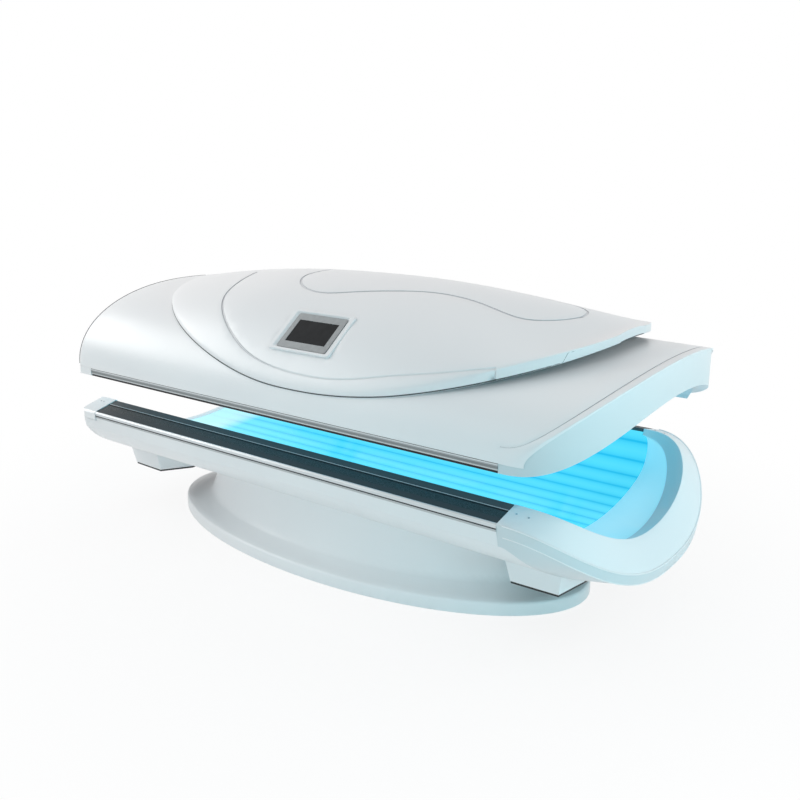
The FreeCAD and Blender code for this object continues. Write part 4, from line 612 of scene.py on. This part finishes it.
def round_edges(shown, width):
    weld = shown.modifiers.new("join", "WELD")
    weld.merge_threshold = WELD_GAP
    bevel = shown.modifiers.new("edge", "BEVEL")
    bevel.width = width
    bevel.segments = EDGE_STEPS
    bevel.limit_method = "ANGLE"
    bevel.angle_limit = EDGE_ANGLE
    bevel.use_clamp_overlap = True
    bevel.harden_normals = True


for rounded_node, edge_width in ROUNDED.items():
    round_edges(nodes_of[rounded_node], edge_width)


# Trim: thin beads along the moulded edges
BEAD_STEPS = 3             # steps in the round of a bead


def bead(name, points, radius, body, material, closed):
    data = bpy.data.curves.new(name, "CURVE")
    data.dimensions = "3D"
    line = data.splines.new("POLY")
    line.points.add(len(points) - 1)
    for spot, point in zip(line.points, points):
        spot.co = tuple(point) + (1.0,)
    line.use_cyclic_u = closed
    line.use_smooth = True
    data.bevel_depth = radius
    data.bevel_resolution = BEAD_STEPS
    data.use_fill_caps = True
    data.materials.append(material)
    made = bpy.data.objects.new(name, data)
    scene.collection.objects.link(made)
    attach(made, body)


# Point of a rounded outline of half sizes 1
def corner(turn, power):
    out = abs(math.cos(turn)) ** (2.0 / power)
    side = abs(math.sin(turn)) ** (2.0 / power)
    return math.copysign(out, math.cos(turn)), math.copysign(side, math.sin(turn))


# Dark bead under the lip of the top cover, on the underside that the lip has there: a painted shadow line
# for the shade under the lip
SHADOW_LINE_RADIUS = 0.0024
COVER_SHADOW_LINE_STEPS = 240
COVER_TIP = 0.0044         # the outline's tips, past the cover's box
COVER_FOOT_POWER = 2.6
COVER_HEAD_POWER = 2.15
COVER_SHADOW_LINE_INSET = 0.003
COVER_BOX_INSET = 0.002
COVER_SHADOW_LINE_OUT = 0.0025
COVER_SHADOW_LINE_RISE = 0.001
UNDER_COVER_Z = 0.5


def cover_shadow_line():
    low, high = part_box("canopy_cover")
    middle = (low[0] + high[0]) / 2
    half_x = (high[0] - low[0]) / 2 + COVER_TIP - COVER_SHADOW_LINE_INSET
    half_y = high[1] - COVER_SHADOW_LINE_INSET
    outward = 1.0 + COVER_SHADOW_LINE_OUT / high[1]
    cover = nodes_of["canopy_cover"]
    points = []
    for k in range(COVER_SHADOW_LINE_STEPS):
        turn = math.tau * k / COVER_SHADOW_LINE_STEPS
        out, side = corner(turn, COVER_FOOT_POWER if math.cos(turn) > 0 else COVER_HEAD_POWER)
        x = min(high[0] - COVER_BOX_INSET, max(low[0] + COVER_BOX_INSET, middle + half_x * out))
        y = half_y * side
        found, spot = cover.ray_cast(Vector((x, y, UNDER_COVER_Z)), Vector((0, 0, 1)))[:2]
        if found:
            points.append((x, y * outward, spot.z + COVER_SHADOW_LINE_RISE))
    # Painted shadow line: a dark bead along the cover's lip
    bead("cover_edge_shadow_line", points, SHADOW_LINE_RADIUS, "canopy", shadow_line_grey, True)


# Dark bead round the head end of the canopy shell, on the round of its edge: a painted shadow line
HEAD_SHADOW_LINE_STEPS = 120
HEAD_SHADOW_LINE_FROM = 1.0
HEAD_SHADOW_LINE_SWEEP = 178.0
HEAD_SHADOW_LINE_INSET = 0.0095
BEYOND_SHELL = 1.5


def head_shadow_line():
    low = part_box("canopy_shell")[0]
    shell = nodes_of["canopy_shell"]
    middle = Vector((low[0] + HEAD_SHADOW_LINE_INSET, 0.0, low[2]))
    points = []
    for k in range(HEAD_SHADOW_LINE_STEPS + 1):
        turn = math.radians(HEAD_SHADOW_LINE_FROM + HEAD_SHADOW_LINE_SWEEP * k / HEAD_SHADOW_LINE_STEPS)
        away = Vector((0.0, -math.cos(turn), math.sin(turn)))
        found, spot = shell.ray_cast(middle + away * BEYOND_SHELL, -away)[:2]
        if found:
            points.append(spot)
    # Painted shadow line: a dark bead round the shell's head edge
    bead("head_edge_shadow_line", points, SHADOW_LINE_RADIUS, "canopy", shadow_line_grey, False)


# Foot-end moulding of the bench: a bead on its outer edge and a finer one on its lower edge
RIM_BEAD_POWER = 2.4
RIM_BEAD_STEPS = 96
RIM_BEAD_TURN = 88.0       # degrees to each side of the foot end
RIM_BEAD_TOP = 0.027       # the flange's edge at the rails, below the rim's top
# Name, insets at the foot and at the sides, drops at the foot and at the rails, power of the rise, radius
RIM_BEADS = (
    ("rim_edge_bead", 0.001, 0.001, 0.2232, 0.0, 2.49, 0.0032),
    ("rim_lower_bead", 0.005, 0.0075, 0.2581, 0.039, 2.52, 0.0022),
)


def rim_bead(name, foot_inset, side_inset, foot_drop, rail_drop, rise, radius):
    low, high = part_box("bench_foot_rim")
    reach = high[0] - low[0] - foot_inset
    half = high[1] - side_inset
    foot_z = high[2] - RIM_BEAD_TOP - foot_drop
    rail_z = high[2] - RIM_BEAD_TOP - rail_drop
    points = []
    for k in range(RIM_BEAD_STEPS + 1):
        turn = math.radians(RIM_BEAD_TURN * (2.0 * k / RIM_BEAD_STEPS - 1.0))
        out, side = corner(turn, RIM_BEAD_POWER)
        z = foot_z + (rail_z - foot_z) * abs(side) ** rise
        points.append((low[0] + reach * out, half * side, z))
    bead(name, points, radius, "bench", white, False)


cover_shadow_line()
head_shadow_line()
for row in RIM_BEADS:
    rim_bead(*row)


# Stage: a pale floor that keeps the shadow, and a white surround
FLOOR_REACH = 30.0
FLOOR_NEAR = 0.8           # metres from the middle, between which the floor turns to pure white
FLOOR_FAR = 2.4
FLOOR_NEAR_WHITE = 0.86
FLOOR_TONE_SCALE = 0.6
FLOOR_LOW = (0.86, 0.86, 0.86)
FLOOR_HIGH = (0.90, 0.90, 0.90)
FLOOR_ROUGH = (0.6, 0.75)
SURROUND_LIGHT = (0.95, 0.97, 1.0)
SURROUND_STRENGTH = 0.42


# 1 for rays that show a surface, straight or in a reflection, and 0 for those that only bring light
def seen_by_views(tree):
    light = tree.nodes.new("ShaderNodeLightPath")
    seen = light.outputs["Is Camera Ray"]
    for ray in ("Is Glossy Ray", "Is Transmission Ray"):
        pick = tree.nodes.new("ShaderNodeMath")
        pick.operation = "MAXIMUM"
        tree.links.new(seen, pick.inputs[0])
        tree.links.new(light.outputs[ray], pick.inputs[1])
        seen = pick.outputs[0]
    return seen


def make_floor():
    mesh = bpy.data.meshes.new("floor")
    ends = ((-1, -1), (1, -1), (1, 1), (-1, 1))
    mesh.from_pydata([(FLOOR_REACH * x, FLOOR_REACH * y, 0) for x, y in ends], [], [(0, 1, 2, 3)])
    floor = bpy.data.objects.new("floor", mesh)
    scene.collection.objects.link(floor)
    tree = Tree("floor_white")
    tree.colour(tree.tone(FLOOR_LOW, FLOOR_HIGH, FLOOR_TONE_SCALE, SOFT))
    tree.vary_rough(tree.noise(FINISH_SCALE), *FLOOR_ROUGH)
    glow = tree.node("ShaderNodeEmission")
    glow.inputs["Strength"].default_value = 1.0
    mix = tree.node("ShaderNodeMixShader")
    tree.join(tree.bsdf.outputs[0], mix.inputs[1])
    tree.join(glow.outputs[0], mix.inputs[2])
    away = tree.node("ShaderNodeVectorMath", operation="LENGTH")
    tree.join(tree.coords, away.inputs[0])
    share = tree.span(away.outputs["Value"], FLOOR_NEAR, FLOOR_FAR, FLOOR_NEAR_WHITE, 1.0)
    tree.join(tree.times(seen_by_views(tree.nt), share), mix.inputs[0])
    tree.join(mix.outputs[0], tree.nt.nodes["Material Output"].inputs["Surface"])
    mesh.materials.append(tree.mat)


def make_surround():
    world = bpy.data.worlds.new("surround")
    scene.world = world
    world.use_nodes = True
    sky = world.node_tree
    light = sky.nodes["Background"]
    light.inputs["Color"].default_value = SURROUND_LIGHT + (1.0,)
    light.inputs["Strength"].default_value = SURROUND_STRENGTH
    seen = sky.nodes.new("ShaderNodeBackground")
    seen.inputs["Color"].default_value = FULL + (1.0,)
    seen.inputs["Strength"].default_value = 1.0
    choose = sky.nodes.new("ShaderNodeMixShader")
    sky.links.new(light.outputs[0], choose.inputs[1])
    sky.links.new(seen.outputs[0], choose.inputs[2])
    sky.links.new(seen_by_views(sky), choose.inputs[0])
    sky.links.new(choose.outputs[0], sky.nodes["World Output"].inputs["Surface"])


make_floor()
make_surround()

# Lamps: soft warm white from most sides, and the tubes' tint from the foot and the front
WARM = (1.0, 0.985, 0.97)
COOL = (0.42, 0.89, 1.0)
LAMP_TINT = (0.22, 0.86, 1.0)
WIDE = 180.0
NARROW = 50.0
# Name, place, target, size, watts, colour, whether gloss shows it, spread in degrees
LAMPS = (
    ("key", (-4.2, -1.7, 3.2), (0.0, 0.0, 0.6), (3.0, 2.4), 110.0, WARM, True, WIDE),
    ("top", (0.2, 0.8, 4.8), (0.0, 0.0, 0.6), (4.0, 3.0), 34.0, WARM, True, WIDE),
    ("foot_fill", (4.2, -0.7, 1.1), (0.8, 0.0, 0.5), (2.4, 1.2), 42.0, COOL, False, WIDE),
    ("front_fill", (1.7, -3.4, 0.7), (0.5, -0.4, 0.5), (2.4, 0.8), 14.0, LAMP_TINT, False, WIDE),
    ("back_light", (3.4, 1.9, 2.3), (0.7, 0.1, 0.8), (1.6, 1.2), 22.0, WARM, False, WIDE),
    ("skirt_fill", (-0.8, -3.6, 1.5), (-0.1, -0.5, 0.1), (1.6, 0.8), 1.3, WARM, False, NARROW),
)


def lamp(name, at, target, size, power, colour, shows, spread):
    data = bpy.data.lights.new(name, "AREA")
    data.shape = "RECTANGLE"
    data.size, data.size_y = size
    data.energy = power
    data.color = colour
    data.spread = math.radians(spread)
    made = bpy.data.objects.new(name, data)
    made.location = at
    made.rotation_euler = (Vector(target) - Vector(at)).to_track_quat("-Z", "Y").to_euler()
    made.visible_glossy = shows
    scene.collection.objects.link(made)


for row in LAMPS:
    lamp(*row)

# Camera, fitted to the edges of the photograph
LENS = 41.26
SENSOR = 36.0
EYE = (2.2009, -2.6788, 1.5194)
LOOK_DOWN = 15.4
LOOK_ROUND = 37.2
camera = bpy.data.cameras.new("camera")
camera.lens = LENS
camera.sensor_width = SENSOR
camera.sensor_fit = "HORIZONTAL"
eye = bpy.data.objects.new("camera", camera)
eye.location = EYE
eye.rotation_euler = (math.radians(90.0 - LOOK_DOWN), 0.0, math.radians(LOOK_ROUND))
scene.collection.objects.link(eye)
scene.camera = eye
